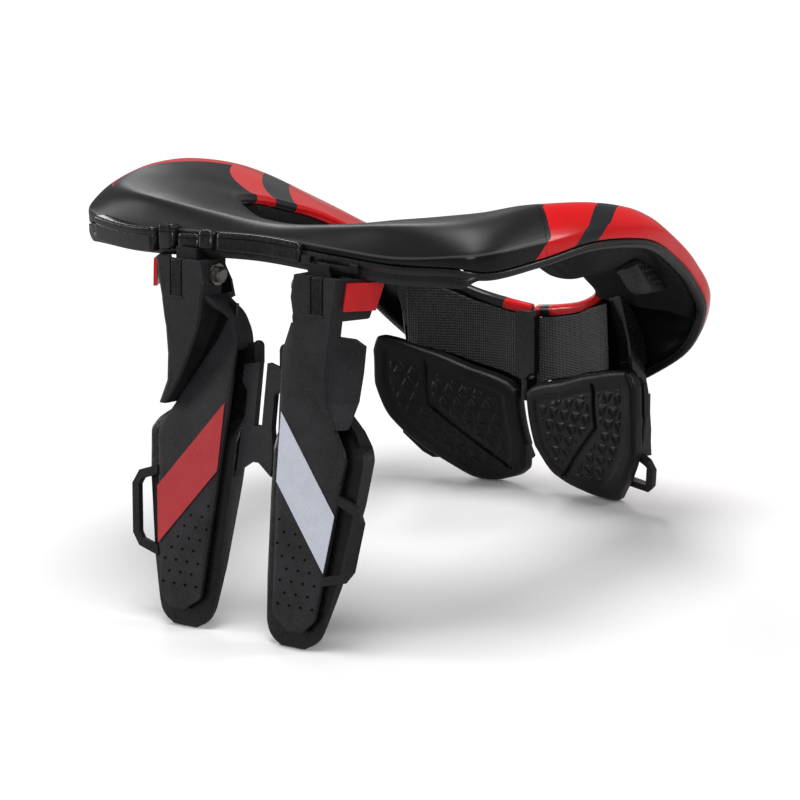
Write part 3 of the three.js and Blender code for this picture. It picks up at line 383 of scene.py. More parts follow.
def make_paint():
    """The collar's paint: satin black at the back, gloss red arms, dark grey stripes, a painted highlight on
    the black's crease and painted shade on the black flank.
    """
    black, stripe = (0.006, 0.0058, 0.0065), (0.013, 0.0135, 0.016)
    finish = Finish("collar_paint", RED, 0.2, Coat_Weight=0.28, Coat_Roughness=0.05, Specular_IOR_Level=0.25)
    u, v, _ = finish.axes(finish.coordinates("UV"))
    station = u * (2 * U_REACH) - U_REACH
    share = v * (1 / V_SCALE)
    far = station.size()
    right = station.above(0.0)
    left = right.flipped()
    foot = share.ramp(1.0, 1.12, 0, -0.34)

    # Where the black ends, in stations from the middle of the back: on the slope to the lip, on the
    # crest and on the flank. The underside is black all the way.
    crest_end = 0.835
    crest_start = far.ramp(3.3, 5.4, crest_end, 0.73) * left + right * 0.72
    past_slope = share.above(crest_start)
    on_slope = past_slope.flipped()
    on_crest = past_slope.both(share.below(crest_end))
    on_flank = share.above(crest_end)
    slope_edge = share.ramp(0, 0.72, 4.45, 6.75)
    crest_edge = right.ramp(0, 1, 3.3, 5.25)
    edge = slope_edge * on_slope + on_crest * crest_edge + on_flank * (foot + 5.2)
    beneath = v.below(-0.02)
    is_black = far.below(edge).either(beneath)

    def between(low, high):
        return far.above(low).both(far.below(high))

    def stripe_edge(bend, start, end, turn):
        """An edge that slants from the lip out to the bend and turns back beyond it."""
        return share.ramp(0, bend, start, end) + share.ramp(bend, 1, 0, turn)

    right_stripe = between(stripe_edge(0.86, 5.2, 6.5, -0.52) + foot,
                           stripe_edge(0.86, 6.1, 7.1, -0.62) + foot)
    left_stripe = between(stripe_edge(0.87, 5.45, 8.1, -0.8), stripe_edge(0.87, 6.4, 8.9, -0.8))
    right_marks = right_stripe.either(between(14.25, 14.75))
    left_marks = left_stripe.either(between(12.35, 13.9))
    is_stripe = right_marks.both(right).either(left_marks.both(left)).both(is_black.flipped())
    cloud = finish.noise(25, 3)
    deep = finish.mix(cloud.ramp(0.3, 0.7, 0, 1), RED, (0.7, 0.006, 0.009))
    painted = finish.mix(is_stripe, deep, stripe)
    speckle = finish.noise(1400, 2, 0.7)
    satin = finish.mix(speckle.ramp(0.5, 0.8, 0, 1), black, (0.017, 0.0165, 0.018))
    # Painted highlight: a thin pale line painted along the black's crease, where the crown turns down into
    # the flank.
    crease_start, crease_end = 0.794, 0.809
    crease = v.above(crease_start).both(v.below(crease_end))
    # Painted shade: the black flank under the crease is painted near-black, darker than the satin on the
    # crown.
    flank = v.above(crease_end).both(is_black)
    satin_with_crease_highlight = finish.mix(crease * 0.75, satin, (0.062, 0.06, 0.064))
    finish.color(finish.mix(is_black, painted, finish.mix(flank * 0.55, satin_with_crease_highlight, (0.002, 0.002, 0.0023))))
    smear = finish.noise(40, 3).ramp(0.3, 0.7, 0, 0.06)
    finish.rough(is_black * 0.2 + is_stripe * 0.1 + flank * -0.14 + smear + 0.17)
    finish.drive("Coat Weight", is_black.ramp(0, 1, 0.28, 0.0))
    finish.drive("Specular IOR Level", is_black.ramp(0, 1, 0.25, 0.3))
    finish.bump(speckle * is_black, 0.05, 0.6)
    finish.bump(is_black + is_stripe, 0.12, 0.5)
    return finish.material


def make_mesh_cloth():
    """Woven spacer mesh: diagonal rows of small loops that catch the light."""
    finish = Finish("mesh_cloth", (0.006, 0.006, 0.007), 0.85, Sheen_Weight=0.2)
    u, v, _ = finish.axes(finish.coordinates("UV"))
    pitch, slant = 2.3, 0.8
    turn = 2 * math.pi / pitch
    rows = ((u + v * slant) * turn).wave() * ((u - v * slant) * turn).wave()
    loops = rows.ramp(0.15, 0.8, 0, 1)
    uneven = finish.noise(300, 2).ramp(0.3, 0.7, 0.4, 1)
    finish.color(finish.mix(loops * uneven, (0.0018, 0.0018, 0.002), (0.065, 0.062, 0.066)))
    finish.bump(rows, 0.45)
    return finish.material


def make_label(name, color, light, roughness):
    """A printed patch with a fine linen texture."""
    finish = Finish(name, color, roughness)
    grain = finish.noise(1500, 2, 0.7)
    cloud = finish.noise(70, 3)
    finish.color(finish.mix(grain.ramp(0.35, 0.7, 0, 0.7) + cloud.ramp(0.35, 0.65, 0, 0.3), color, light))
    finish.rough(grain.ramp(0.3, 0.7, roughness - 0.08, roughness + 0.1))
    finish.bump(grain, 0.06)
    return finish.material


def make_dotted_rubber():
    """Rubber with close rows of small raised dots, with a painted highlight on the dots."""
    finish = Finish("dotted_rubber", (0.02, 0.02, 0.023), 0.5)
    u, v, _ = finish.axes(finish.coordinates("UV"))
    turn = 2 * math.pi
    dots_along, dots_across = 90, 14
    dots = (u * (turn * dots_along)).wave() * (v * (turn * dots_across)).wave()
    # Painted highlight: the dots are coloured lighter than the rubber between them.
    finish.color(finish.mix(dots.ramp(0.3, 0.8, 0, 1), (0.014, 0.014, 0.016), (0.06, 0.06, 0.065)))
    finish.bump(dots.ramp(0.2, 0.8, 0, 1), 0.5)
    return finish.material


def make_red_gloss():
    """Glossy red plastic."""
    finish = Finish("red_gloss", RED, 0.16, Coat_Weight=0.3, Coat_Roughness=0.05)
    cloud = finish.noise(90, 3)
    finish.color(finish.mix(cloud.ramp(0.35, 0.65, 0, 1), (0.6, 0.004, 0.006), (0.72, 0.007, 0.01)))
    finish.rough(cloud.ramp(0.3, 0.7, 0.14, 0.24))
    return finish.material


def make_steel():
    """Dull plated steel with uneven wear."""
    finish = Finish("zinc_steel", (0.2, 0.2, 0.2), 0.3, Metallic=1.0)
    wear = finish.noise(700, 3)
    finish.color(finish.mix(wear.ramp(0.3, 0.7, 0, 1), (0.13, 0.13, 0.13), (0.3, 0.29, 0.27)))
    finish.rough(wear.ramp(0.3, 0.7, 0.2, 0.42))
    return finish.material


PAINT = make_paint()
NYLON = make_moulded("grained_nylon", (0.0065, 0.006, 0.007), (0.019, 0.0175, 0.02), 0.46)
FIN_SKIN = make_moulded("fin_skin", (0.0095, 0.0085, 0.01), (0.04, 0.0365, 0.041), 0.46,
                        grain=1100, depth=0.14)
RUBBER = make_moulded("soft_rubber", (0.003, 0.003, 0.0035), (0.008, 0.008, 0.009), 0.3,
                      grain=500, depth=0.04, specular=0.45)
TRIM = make_moulded("edge_trim", (0.004, 0.004, 0.0045), (0.01, 0.01, 0.011), 0.3,
                    grain=700, depth=0.04, specular=0.45)
FOAM_SKIN = make_moulded("foam_skin", (0.0025, 0.0025, 0.003), (0.007, 0.007, 0.0075), 0.6,
                         grain=420, depth=0.2)
PAD_SKIN = make_moulded("pad_skin", (0.003, 0.003, 0.0036), (0.0085, 0.0082, 0.0095), 0.4,
                        grain=650, depth=0.06)
GLOSS_NYLON = make_moulded("smooth_nylon", (0.005, 0.005, 0.0058), (0.012, 0.0115, 0.013), 0.22,
                           grain=500, depth=0.03, specular=0.5)
# Painted shade: a near-black, almost unreflecting finish for holes and recesses that lie in shade.
SHADE_BLACK = make_moulded("painted_shade_black", (0.001, 0.001, 0.001), (0.002, 0.002, 0.002), 0.8, specular=0.05)
MESH_CLOTH = make_mesh_cloth()
DOTTED = make_dotted_rubber()
RED_LABEL = make_label("red_label", (0.43, 0.013, 0.017), (0.57, 0.033, 0.04), 0.55)
SILVER_LABEL = make_label("silver_label", (0.55, 0.585, 0.67), (0.74, 0.77, 0.86), 0.5)
RED_GLOSS = make_red_gloss()
STEEL = make_steel()

# Collar

# Where the shell's outline has corners: shares of the width on the crown and under it, and the lip's bead.
SHARES = np.concatenate([np.linspace(0.03, 0.6, 15), np.linspace(0.64, 0.9, 12), [0.925, 0.95, 0.97, 0.985]])
UNDER_SHARES = np.linspace(0.12, 0.94, 12)
BEAD = [(-0.35, 0.35), (-0.85, -0.25), (-1.05, -1.2), (-1.0, -2.4), (-0.6, -3.5), (0.3, -4.3), (1.4, -4.5),
        (3.6, -4.5), (4.5, -4.2), (5.0, -3.4)]


def shell_outline(sections):
    """Foot of the band, rounded crease, crown down to the lip, turned bead and the underside."""
    w, band = sections.width, sections.band
    ring = [(w - 0.7, -band), (w - 0.15, -band + 0.25), (w, -band + 0.8)]
    ring += [(w + 0.12, -band * share) for share in (0.75, 0.5, 0.3)]
    ring += [(w - 0.02, -0.12 * band), (w - 0.35, 0.05)]
    ring += [(share * w, np.maximum(sections.height(share), 0.1)) for share in SHARES[::-1]]
    ring += BEAD
    ring += [(share * w, np.maximum(sections.height(share) - WALL, 0.2 - WALL)) for share in UNDER_SHARES]
    ring += [(w - WALL, -WALL), (w - WALL, -band)]
    return ring


def shell_uv():
    """The paint's v at each corner of the shell's outline."""
    hidden, bead_shown = -0.2, 8
    flank = [hidden, 0.895, 0.885, 0.87, 0.85, 0.835, 0.82, V_SCALE]
    top = [share * V_SCALE for share in SHARES[::-1]]
    beneath = len(BEAD) - bead_shown + len(UNDER_SHARES) + 2
    return flank + top + [0.0] * bead_shown + [hidden] * beneath


def build_collar():
    seam, slit = 5.1, 0.008
    for name, start, end, steps, node in (
            ("rear_shell", -seam, seam, 190, "collar_rear_shell"),
            ("arm_shell_right", seam + slit, LAST, 180, "collar_arm_shell_right"),
            ("arm_shell_left", -seam - slit, -LAST, 180, "collar_arm_shell_left")):
        shell = along_collar(name, start, end, steps, shell_outline, PAINT, shell_uv(), angle=60)
        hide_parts(node)


def rim_outline(sections):
    """Rubber rim with two shallow beads on its outer side."""
    w, top = sections.width, -sections.band - GAP
    h = RIM_HEIGHT
    outer = [(-0.9, 0.0), (0.0, -0.06), (0.35, -0.2), (0.3, -0.36), (-0.1, -0.46), (0.05, -0.58),
             (-0.2, -0.78), (-0.8, -0.94), (-1.7, -1.0)]
    inner = [(-RIM_WIDTH + 1.0, -1.0), (-RIM_WIDTH + 0.25, -0.85), (-RIM_WIDTH, -0.6), (-RIM_WIDTH, 0.0)]
    return [(w + a, top + b * h) for a, b in outer + inner]


def build_rims():
    start, end = 3.3, LAST - 0.2
    for side, name in ((1, "right"), (-1, "left")):
        rim = along_collar(f"edge_trim_{name}", side * start, side * end, 170, rim_outline, TRIM, angle=60)
        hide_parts(f"collar_edge_rim_{name}")


def foam_depth(sections, share):
    """The foam's underside at a share of its width, as a height under the shell."""
    return -(GAP + LIP_TURN) - sections.foam * np.sin(math.pi * min(1, 0.28 + 0.72 * share))


def foam_outline(sections):
    """Foam under an arm, with moulded folds across it near the back and a soft channel along it."""
    w, band, s = sections.width, sections.band, np.abs(sections.s)
    inner, outer = LIP_BEAD + 1.2, w - RIM_WIDTH - RIM_ROOM
    ring = [(inner, -WALL - 2 * GAP - 1)]
    for share in (0.14, 0.3, 0.5, 0.68, 0.82):
        ceiling = np.maximum(sections.height(share * 0.8 + 0.1) - WALL, 0.2 - WALL)
        ring.append((inner + (outer - inner) * share, ceiling - 2 * GAP - 1.2))
    ring += [(outer, -WALL - 1.5), (outer, -band - RIM_HEIGHT * 0.55)]
    fold_start, fold_end, fold_pitch = 4.8, 6.4, 0.16
    fade = np.clip((fold_end - s) / 0.8, 0, 1) * np.clip((s - fold_start) / 0.2, 0, 1)
    folds = 0.55 * (1 + np.sin(s * 2 * math.pi / fold_pitch)) * fade
    for share in np.linspace(0.985, 0.0, 30):
        plain = np.minimum(foam_depth(sections, share), -band * share - GAP)
        channel = 1.3 * math.exp(-((share - 0.36) / 0.035) ** 2)
        soften = 2.0 * max(0, share - 0.93) / 0.055 + 1.2 * max(0, 0.05 - share) / 0.05
        ring.append((outer * share, plain + channel + folds * math.sin(math.pi * share) + soften))
    ring += [(1, -LIP_TURN - GAP), (inner, -LIP_TURN - GAP)]
    return ring


def build_foam():
    start, end = 4.7, 11.3
    for side, name in ((1, "right"), (-1, "left")):
        foam = along_collar(f"arm_foam_{name}", side * start, side * end, 230, foam_outline,
                            FOAM_SKIN, angle=70)
        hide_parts(f"shoulder_foam_{name}")


WEDGE_START, WEDGE_END, WEDGE_HANG, WEDGE_CORNERS = 8.6, 10.4, 11, 18


def wedge_outline(sections):
    """A rubber block that hangs under the foam, deepest in the middle of its length."""
    t = np.clip((np.abs(sections.s) - WEDGE_START) / (WEDGE_END - WEDGE_START), 0, 1)
    hang = WEDGE_HANG * (0.15 + 0.85 * np.sin(math.pi * t))
    outer = sections.width - RIM_WIDTH - RIM_ROOM

    def top(share):
        return np.minimum(foam_depth(sections, share), -sections.band * share - GAP) - GAP - 0.1

    ring = [(0.5 * outer, top(0.5)), (0.75 * outer, top(0.75)), (0.755 * outer, top(0.75) - 0.25 * hang)]
    for k in range(7):
        turn = k / 6 * math.pi / 2
        across, down = 0.69 + 0.065 * math.cos(turn), 0.5 + 0.42 * math.sin(turn)
        ring.append((across * outer, top(0.62) - hang * down))
    ring += [((0.69 - 0.02 * k) * outer, top(0.58) - hang * 0.95) for k in range(1, 7)]
    ring += [(0.53 * outer, top(0.5) - hang * 0.8), (0.505 * outer, top(0.5) - hang * 0.4)]
    return ring


def build_wedges():
    rows = np.linspace(0, 1, WEDGE_CORNERS)
    for side, name in ((1, "right"), (-1, "left")):
        wedge = along_collar(f"dotted_wedge_{name}", side * WEDGE_START, side * WEDGE_END, 40, wedge_outline,
                             DOTTED, rows, angle=60)
        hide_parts(f"shoulder_wedge_{name}")


# Back
FIN_TIP_Z, FIN_LENGTH, FIN_SPAN = -43.0, 148, 61.5
FIN_FACE_Y, FIN_LEAN, FIN_PLATE = -109.5, 0.145, 3
# Rows down a fin, as shares of its length and span: place, inner edge and outer edge. A backing's rows
# also have how far it stands off the fin and how thick it is, as shares of BACKING_DEPTH.
FIN_ROWS = np.array([[0, 0.31, 0.34], [0.095, 0.244, 0.455], [0.29, 0.268, 0.795], [0.392, 0.285, 0.97],
                     [0.43, 0.295, 1], [0.61, 0.325, 0.945], [0.78, 0.358, 0.895], [0.955, 0.39, 0.83],
                     [1, 0.56, 0.715]])
BACKING_ROWS = np.array([
    [0.1, 0.2, 0.43, 0.45, 0.6], [0.28, 0.19, 0.8, 0.45, 0.8], [0.34, 0.19, 0.955, 0.45, 0.9],
    [0.385, 0.19, 1.09, 0.12, 1], [0.42, 0.195, 1.14, 0, 1], [0.57, 0.21, 1.1, 0, 0.95],
    [0.84, 0.25, 0.975, 0, 0.7], [0.985, 0.285, 0.88, 0, 0.5], [1.02, 0.32, 0.845, 0, 0.47],
    [1.042, 0.375, 0.785, 0, 0.44], [1.054, 0.43, 0.73, 0, 0.42], [1.058, 0.48, 0.68, 0, 0.4],
])
BACKING_DEPTH = 12


def fin_face(z):
    """The y of the fins' leaning rear face."""
    return FIN_FACE_Y + FIN_LEAN * z


def eased(rows, column, place, blur):
    """A table's column at a place, its corners rounded over a length."""
    shifts = np.linspace(-blur, blur, 9)
    inside = np.clip(place[None, :] + shifts[:, None], rows[0, 0], rows[-1, 0])
    return np.mean([np.interp(p, rows[:, 0], rows[:, column]) for p in inside], axis=0)


def even_places(rows, count):
    """Even steps from the first row's place in a table to the last row's."""
    return np.linspace(rows[0, 0], rows[-1, 0], count)


def fin_point(side, rows=None):
    """Points ahead of a fin's rear face, or ahead of the fin by the stand that a backing's rows give."""
    def point(down, x, depth):
        z = FIN_TIP_Z - down * FIN_LENGTH
        y = fin_face(z) + depth
        if rows is not None:
            y = y + FIN_PLATE + GAP + np.interp(down, rows[:, 0], rows[:, 3]) * BACKING_DEPTH
        return np.stack([side * x, y, z], axis=-1)
    return point


def build_fins():
    for side, name in ((1, "right"), (-1, "left")):
        place = even_places(FIN_ROWS, 150)
        low, high = (eased(FIN_ROWS, c, place, 0.008) * FIN_SPAN for c in (1, 2))
        fin = slab(f"fin_plate_{name}", place, low, high, 60, fin_point(side), FIN_PLATE, 0.7, 0.4, FIN_SKIN)
        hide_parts(f"fin_{name}")
        place = even_places(BACKING_ROWS, 130)
        low, high = (eased(BACKING_ROWS, c, place, 0.01) * FIN_SPAN for c in (1, 2))
        thick = np.interp(place, BACKING_ROWS[:, 0], BACKING_ROWS[:, 4]) * BACKING_DEPTH
        ahead = fin_point(side, BACKING_ROWS)
        backing = slab(f"fin_pad_{name}", place, low, high, 50, ahead, thick, 1.2, 2.4, RUBBER)
        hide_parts(f"fin_backing_{name}")


# Corners of the patch on a fin: x and z.
LABEL = [(18.6, -86.2), (58.5, -132.2), (54.6, -160.2), (19.6, -120.0)]


def build_labels():
    """Plain patches across the fins: red on the left, silver on the right."""
    for side, name, material, slot in ((1, "silver_patch", SILVER_LABEL, "steel"),
                                       (-1, "red_patch", RED_LABEL, "gloss_red")):
        points = [(side * x, fin_face(z) - proud, z) for proud in (0.02, 0.3) for x, z in LABEL]
        faces = [(0, 1, 2, 3), (4, 5, 6, 7)] + [(i, (i + 1) % 4, 4 + (i + 1) % 4, 4 + i) for i in range(4)]
        patch = add_object(name, points, faces, material, smooth=False)


def build_perforations():
    """Sparse rows of pinholes in the lower faces of the fins, as discs of painted shade let into them."""
    first_x, first_z, pitch_x, pitch_z = 23.5, -138.0, 7.4, 5.8
    radius, corners = 0.62, 12
    label_x, label_z = LABEL[0]
    for side, name in ((1, "right"), (-1, "left")):
        points, faces = [], []
        for row in range(8):
            for column in range(5):
                x = first_x + column * pitch_x + (row % 2) * pitch_x / 2
                z = first_z - row * pitch_z
                outer_edge = 55.5 + (z - first_z) * 0.12
                inner_edge = 22.5 - (z - first_z) * 0.05
                under_label = label_z - (x - label_x) * 1.35 - 36
                if x > outer_edge or x < inner_edge or z > under_label:
                    continue
                start = len(points)
                for proud in (0.05, -0.25):
                    for k in range(corners):
                        turn = 2 * math.pi * k / corners
                        dx, dz = radius * math.cos(turn), radius * math.sin(turn)
                        points.append((side * (x + dx), fin_face(z + dz) - proud, z + dz))
                faces += grid_faces(2, corners, start)
                faces.append(tuple(range(start, start + corners)))
                faces.append(tuple(range(start + corners, start + 2 * corners)))
        # The discs are painted shade for the insides of the pinholes.
        holes = add_object(f"fin_pinhole_shade_{name}", points, faces, SHADE_BLACK, smooth=False)


def loft(name, rings, material, bevel=0.0):
    """A closed body through rings of corners."""
    rings = np.asarray(rings, float)
    rows, columns = rings.shape[:2]
    faces = grid_faces(rows, columns)
    faces += [tuple(range(columns)), tuple(range((rows - 1) * columns, rows * columns))]
    return add_object(name, rings.reshape(-1, 3), faces, material, bevel=bevel)


def bar(name, low, high, material, bevel):
    """A box between two corners."""
    rings = [[(x, low[1], low[2]), (x, high[1], low[2]), (x, high[1], high[2]), (x, low[1], high[2])]
             for x in (low[0], high[0])]
    return loft(name, rings, material, bevel)


# The strap's way from the arm's inner flange down behind the fin: place, x, z, back and front y.
STRAP_ROWS = np.array([[0, 30.5, -33, -125, -108], [0.3, 25.5, -38, -122, -106.5],
                       [0.5, 20.2, -43, -115.2, -104.4], [0.75, 16.4, -52, -114.2, -103.4],
                       [1, 15.2, -61, -114.8, -103.6]])
# The window in the arm's inner flange, ahead of the bolt, filled with a thin sheet of painted shade: z, x of
# the face and front y.
WINDOW_ROWS = np.array([[-20.5, 29.95, -109.3], [-24, 29.3, -108], [-28, 28.5, -106.4], [-32, 29.15, -104.8],
                        [-34, 29.6, -103.8]])
WINDOW_BACK = -112.2
# The arm's foot behind the fin's slanted edge: z, inner and outer x.
FOOT_ROWS = np.array([[-38, 19, 33], [-45, 18.8, 34.5], [-51, 21.8, 36.5], [-57, 25, 39],
                      [-64.6, 30.4, 42], [-78, 40, 49.5], [-88, 48, 55]])


def corner_rings(side, corners):
    """Rings for a loft from the x, y and z that each corner takes along it."""
    return np.stack([np.stack(np.broadcast_arrays(side * x, y, z), axis=-1) for x, y, z in corners], axis=1)


def build_arm_details():
    """Each strut arm's strap, painted shade in its window, foot, painted shade on its tongue, and ledge."""
    strap_width, window_stand, foot_depth = 2.4, 0.15, 1.6
    tongue_x = 0.75 * FIN_SPAN
    for side, name in ((1, "right"), (-1, "left")):
        t = np.linspace(0, 1, 40)
        x, z, back, front = (eased(STRAP_ROWS, c, t, 0.08) for c in (1, 2, 3, 4))
        far_x, far_z = x + strap_width, z - strap_width * 0.5
        rings = corner_rings(side, ((x, back, z), (x, front, z), (far_x, front, far_z), (far_x, back, far_z)))
        loft(f"arm_strap_{name}", rings, FIN_SKIN, 0.4)
        # Painted shade: a thin near-black sheet fills the window ahead of the bolt.
        z, x, front = WINDOW_ROWS.T
        near, far = x - window_stand, x + window_stand
        rings = corner_rings(side, ((near, WINDOW_BACK, z), (near, front, z), (far, front, z),
                                    (far, WINDOW_BACK, z)))
        loft(f"arm_window_shade_{name}", rings, SHADE_BLACK)
        z = even_places(FOOT_ROWS, 40)
        inner, outer = (np.interp(-z, -FOOT_ROWS[:, 0], FOOT_ROWS[:, c]) for c in (1, 2))
        near = fin_face(z) + FIN_PLATE + 0.2
        far = near + foot_depth
        rings = corner_rings(side, ((inner, near, z), (outer, near, z), (outer, far, z), (inner, far, z)))
        loft(f"arm_foot_{name}", rings, RUBBER, 0.3)
        # Painted shade: a thin dark rubber plate laid over the tongue stands in for the shade of its recess.
        ends = sorted((side * (tongue_x - 3.1), side * (tongue_x + 3.1)))
        tongue = bar(f"arm_tongue_shade_{name}", (ends[0], -127.2, -34.6), (ends[1], -126.8, -17.2), RUBBER, 0.15)
        ends = sorted((side * (tongue_x - 4.0), side * (tongue_x + 4.0)))
        ledge = bar(f"arm_ledge_{name}", (ends[0], -127.7, -35.9), (ends[1], -126.6, -35.1), FIN_SKIN, 0.2)


SKIRT_TAPERS, SKIRT_END, SKIRT_HEIGHT, SKIRT_LOSS = 3.12, 3.8, 9.4, 5.9


def skirt_outline(sections):
    """Strip that closes the back of the collar under the flank, with one shallow line along it."""
    w, top, far = sections.width, -sections.band - 0.2, np.abs(sections.s)
    turn = np.clip((far - SKIRT_TAPERS) / (SKIRT_END - SKIRT_TAPERS), 0, 1)
    ease = turn * turn * (3 - 2 * turn)
    h = SKIRT_HEIGHT - SKIRT_LOSS * ease
    inner = np.where(far > SKIRT_TAPERS + 0.1, 0.39, -1.4)
    outer = [(0.45, -0.01), (0.75, -0.12), (0.8, -0.36), (0.5, -0.4), (0.5, -0.47), (0.95, -0.52),
             (0.95, -0.8), (0.7, -0.94), (0.5, -1.0)]
    ring = [(w + 0.4 + (a - 0.4) * (1 - 0.85 * ease), top + b * h) for a, b in outer]
    return [(w + inner, top)] + ring + [(w + inner, top - h), (w + inner, top - h / 2)]


def block_outline(start, end, stand, high, low):
    """A block on the flank with rounded edges and ends, and a line along it."""
    middle, half, centre = (start + end) / 2, (end - start) / 2, (high + low) / 2
    end_round, edge_round, inset, line_depth = 0.06, 1.1, 2.5, 0.3
    quarter = np.linspace(0, math.pi / 2, 5)

    def outline(sections):
        w = sections.width
        near = np.clip((half - np.abs(sections.s - middle)) / end_round, 0, 1)
        swell = 0.5 + 0.5 * np.sqrt(np.maximum(0, 1 - (1 - near) ** 2))
        top, foot, out = centre + (high - centre) * swell, centre + (low - centre) * swell, stand * swell
        corner = edge_round * swell
        line = top - 0.3 * (top - foot)
        ring = [(w - inset, top - 0.4)]
        ring += [(w + out * (1 - 0.3 * (1 - math.sin(turn))), top - corner * (1 - math.cos(turn)))
                 for turn in quarter]
        ring += [(w + out, line + 0.3), (w + out - line_depth, line), (w + out, line - 0.3)]
        ring += [(w + out * (1 - 0.3 * (1 - math.cos(turn))), foot + corner * (1 - math.sin(turn)))
                 for turn in quarter]
        ring.append((w - inset, foot + 0.4))
        return ring
    return outline


# Fittings on the back of the collar: name, start and end station, stand, top and foot heights.
BACK_FITTINGS = [
    ("back_bumper", -2.74, -1.5, 5.2, 1.6, -11.5), ("back_catch", -1.46, -1.2, 3.8, 3.2, -9.8),
    ("back_slider", -1.16, -0.84, 2.6, -1.2, -9.2), ("back_lug", -0.82, -0.62, 3.7, 1.2, -8.6),
    ("back_bar", -0.58, 0.62, 3.1, 0.2, -9.4),
]


def build_back_fittings():
    least_steps, steps_per_station = 36, 90
    for name, start, end, stand, high, low in BACK_FITTINGS:
        steps = max(least_steps, int((end - start) * steps_per_station))
        outline = block_outline(start, end, stand, high, low)
        fitting = along_collar(name, start, end, steps, outline, GLOSS_NYLON)


def build_skirt():
    skirt = along_collar("rear_skirt", -SKIRT_END, SKIRT_END, 190, skirt_outline, TRIM, angle=60)


# Chest
PAD_SPAN, PAD_DROP, PAD_HEIGHT, PAD_THICKNESS = 88, 165, 80, 9
PAD_INNER_Y, PAD_WRAP, PAD_FLARE = 89, 17.6, 30
# From the middle outwards, as shares of a pad's span and height: place, top and foot.
PAD_ROWS = np.array([[0.035, 0.7, 0.36], [0.09, 0.76, 0.15], [0.2, 0.8, 0.07], [0.36, 0.84, 0.015],
                     [0.5, 0.89, 0], [0.56, 0.91, 0.01], [0.68, 0.94, 0.12], [0.76, 0.965, 0.19],
                     [0.88, 0.99, 0.33], [0.96, 1, 0.46], [1, 0.96, 0.62]])
# The bent groove's corners: x and z.
GROOVE = [(56.5, -97.0), (56.5, -120.5), (14.0, -158.0)]


def chest_y(x, z):
    """The pads' inner face, wrapped round the chest and flaring outwards below its middle."""
    below = (-z - 0.625 * PAD_DROP) / (0.376 * PAD_DROP)
    share = np.abs(x) / PAD_SPAN
    flare = PAD_FLARE * (0.8 + 0.2 * np.minimum(1, 2 * share))
    return PAD_INNER_Y - PAD_WRAP * share + flare * below * np.abs(below)


def segment_distance(x, z, a, b):
    """Distance from points to the line between a and b."""
    dx, dz = b[0] - a[0], b[1] - a[1]
    t = np.clip(((x - a[0]) * dx + (z - a[1]) * dz) / (dx * dx + dz * dz), 0, 1)
    return np.hypot(x - a[0] - t * dx, z - a[1] - t * dz)


def soft_step(value, middle, width):
    """1 below the middle and 0 above it, blended over about the width."""
    return 1 / (1 + np.exp(np.clip((value - middle) / width * 4, -40, 40)))


def triangle_marks(x, z):
    """Small raised triangles, point up and point down by turns, with narrow channels between them."""
    pitch = 7.4
    least = np.full(x.shape, np.inf)
    for degrees in (90, 210, 330):
        lane = (x * math.cos(math.radians(degrees)) + (z + 2) * math.sin(math.radians(degrees))) / pitch
        least = np.minimum(least, np.abs(lane - np.round(lane)) * pitch)
    return 1 - soft_step(least, 0.95, 0.4)


def pad_relief(x, z, edge):
    """Raised rim round a sunken field with a bent groove and triangle marks."""
    field_depth, groove_depth, mark_height = 1.0, 2.4, 0.85
    field = 1 - soft_step(edge, 7.5, 2.0)
    groove = np.minimum(*(segment_distance(x, z, a, b) for a, b in zip(GROOVE, GROOVE[1:])))
    cut = soft_step(groove, 1.15, 0.45) * (1 - soft_step(edge, 4, 1.5))
    marks = triangle_marks(x, z) * (1 - soft_step(edge, 11, 1.0)) * (1 - soft_step(groove, 4.0, 1.0))
    return field_depth * field + groove_depth * cut - mark_height * marks


def build_pads():
    for side, name in ((1, "right"), (-1, "left")):
        place = even_places(PAD_ROWS, 190)
        top, foot = (eased(PAD_ROWS, c, place, 0.03) for c in (1, 2))
        corner = 0.2 * np.clip(1 - (1.0 - place) / 0.05, 0, 1) ** 2 * (top - foot)
        low, high = (-PAD_DROP + share * PAD_HEIGHT for share in (foot + corner, top - corner))

        def point(x, z, depth):
            return np.stack([side * x, chest_y(x, z) + depth, z], axis=-1)

        pad = slab(f"chest_cushion_{name}", place * PAD_SPAN, low, high, 170, point, PAD_THICKNESS, 3.2, 2.0,
                   PAD_SKIN, relief=pad_relief)
        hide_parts(f"chest_pad_{name}")


# Front mesh
MESH_SPAN, MESH_FRONT_Y, MESH_BOW, MESH_THICKNESS = 67.3, 99, 25, 2
# Place and top edge, as shares of the mesh's span and of the front's drop.
MESH_ROWS = np.array([[0.045, 0.596], [0.23, 0.581], [0.5, 0.548], [0.73, 0.497], [0.88, 0.468], [1, 0.447]])


def build_mesh():
    for side, name in ((1, "right"), (-1, "left")):
        place = even_places(MESH_ROWS, 90) * MESH_SPAN
        high = -np.interp(place / MESH_SPAN, MESH_ROWS[:, 0], MESH_ROWS[:, 1]) * FRONT_DROP
        low = -PAD_DROP + np.interp(place / PAD_SPAN, PAD_ROWS[:, 0], PAD_ROWS[:, 1]) * PAD_HEIGHT + GAP

        def point(x, z, depth):
            bottom, top = np.interp(x, place, low), np.interp(x, place, high)
            upper = MESH_FRONT_Y - MESH_BOW * (x / MESH_SPAN) ** 2
            lower = np.maximum(upper, chest_y(x, bottom) + PAD_THICKNESS / 3)
            share = np.clip((z - bottom) / (top - bottom), 0, 1)
            return np.stack([side * x, lower + (upper - lower) * share + depth, z], axis=-1)

        panel = slab(f"mesh_cloth_{name}", place, low, high, 50, point, MESH_THICKNESS, 0.5, 0.5, MESH_CLOTH)
        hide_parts(f"mesh_panel_{name}")


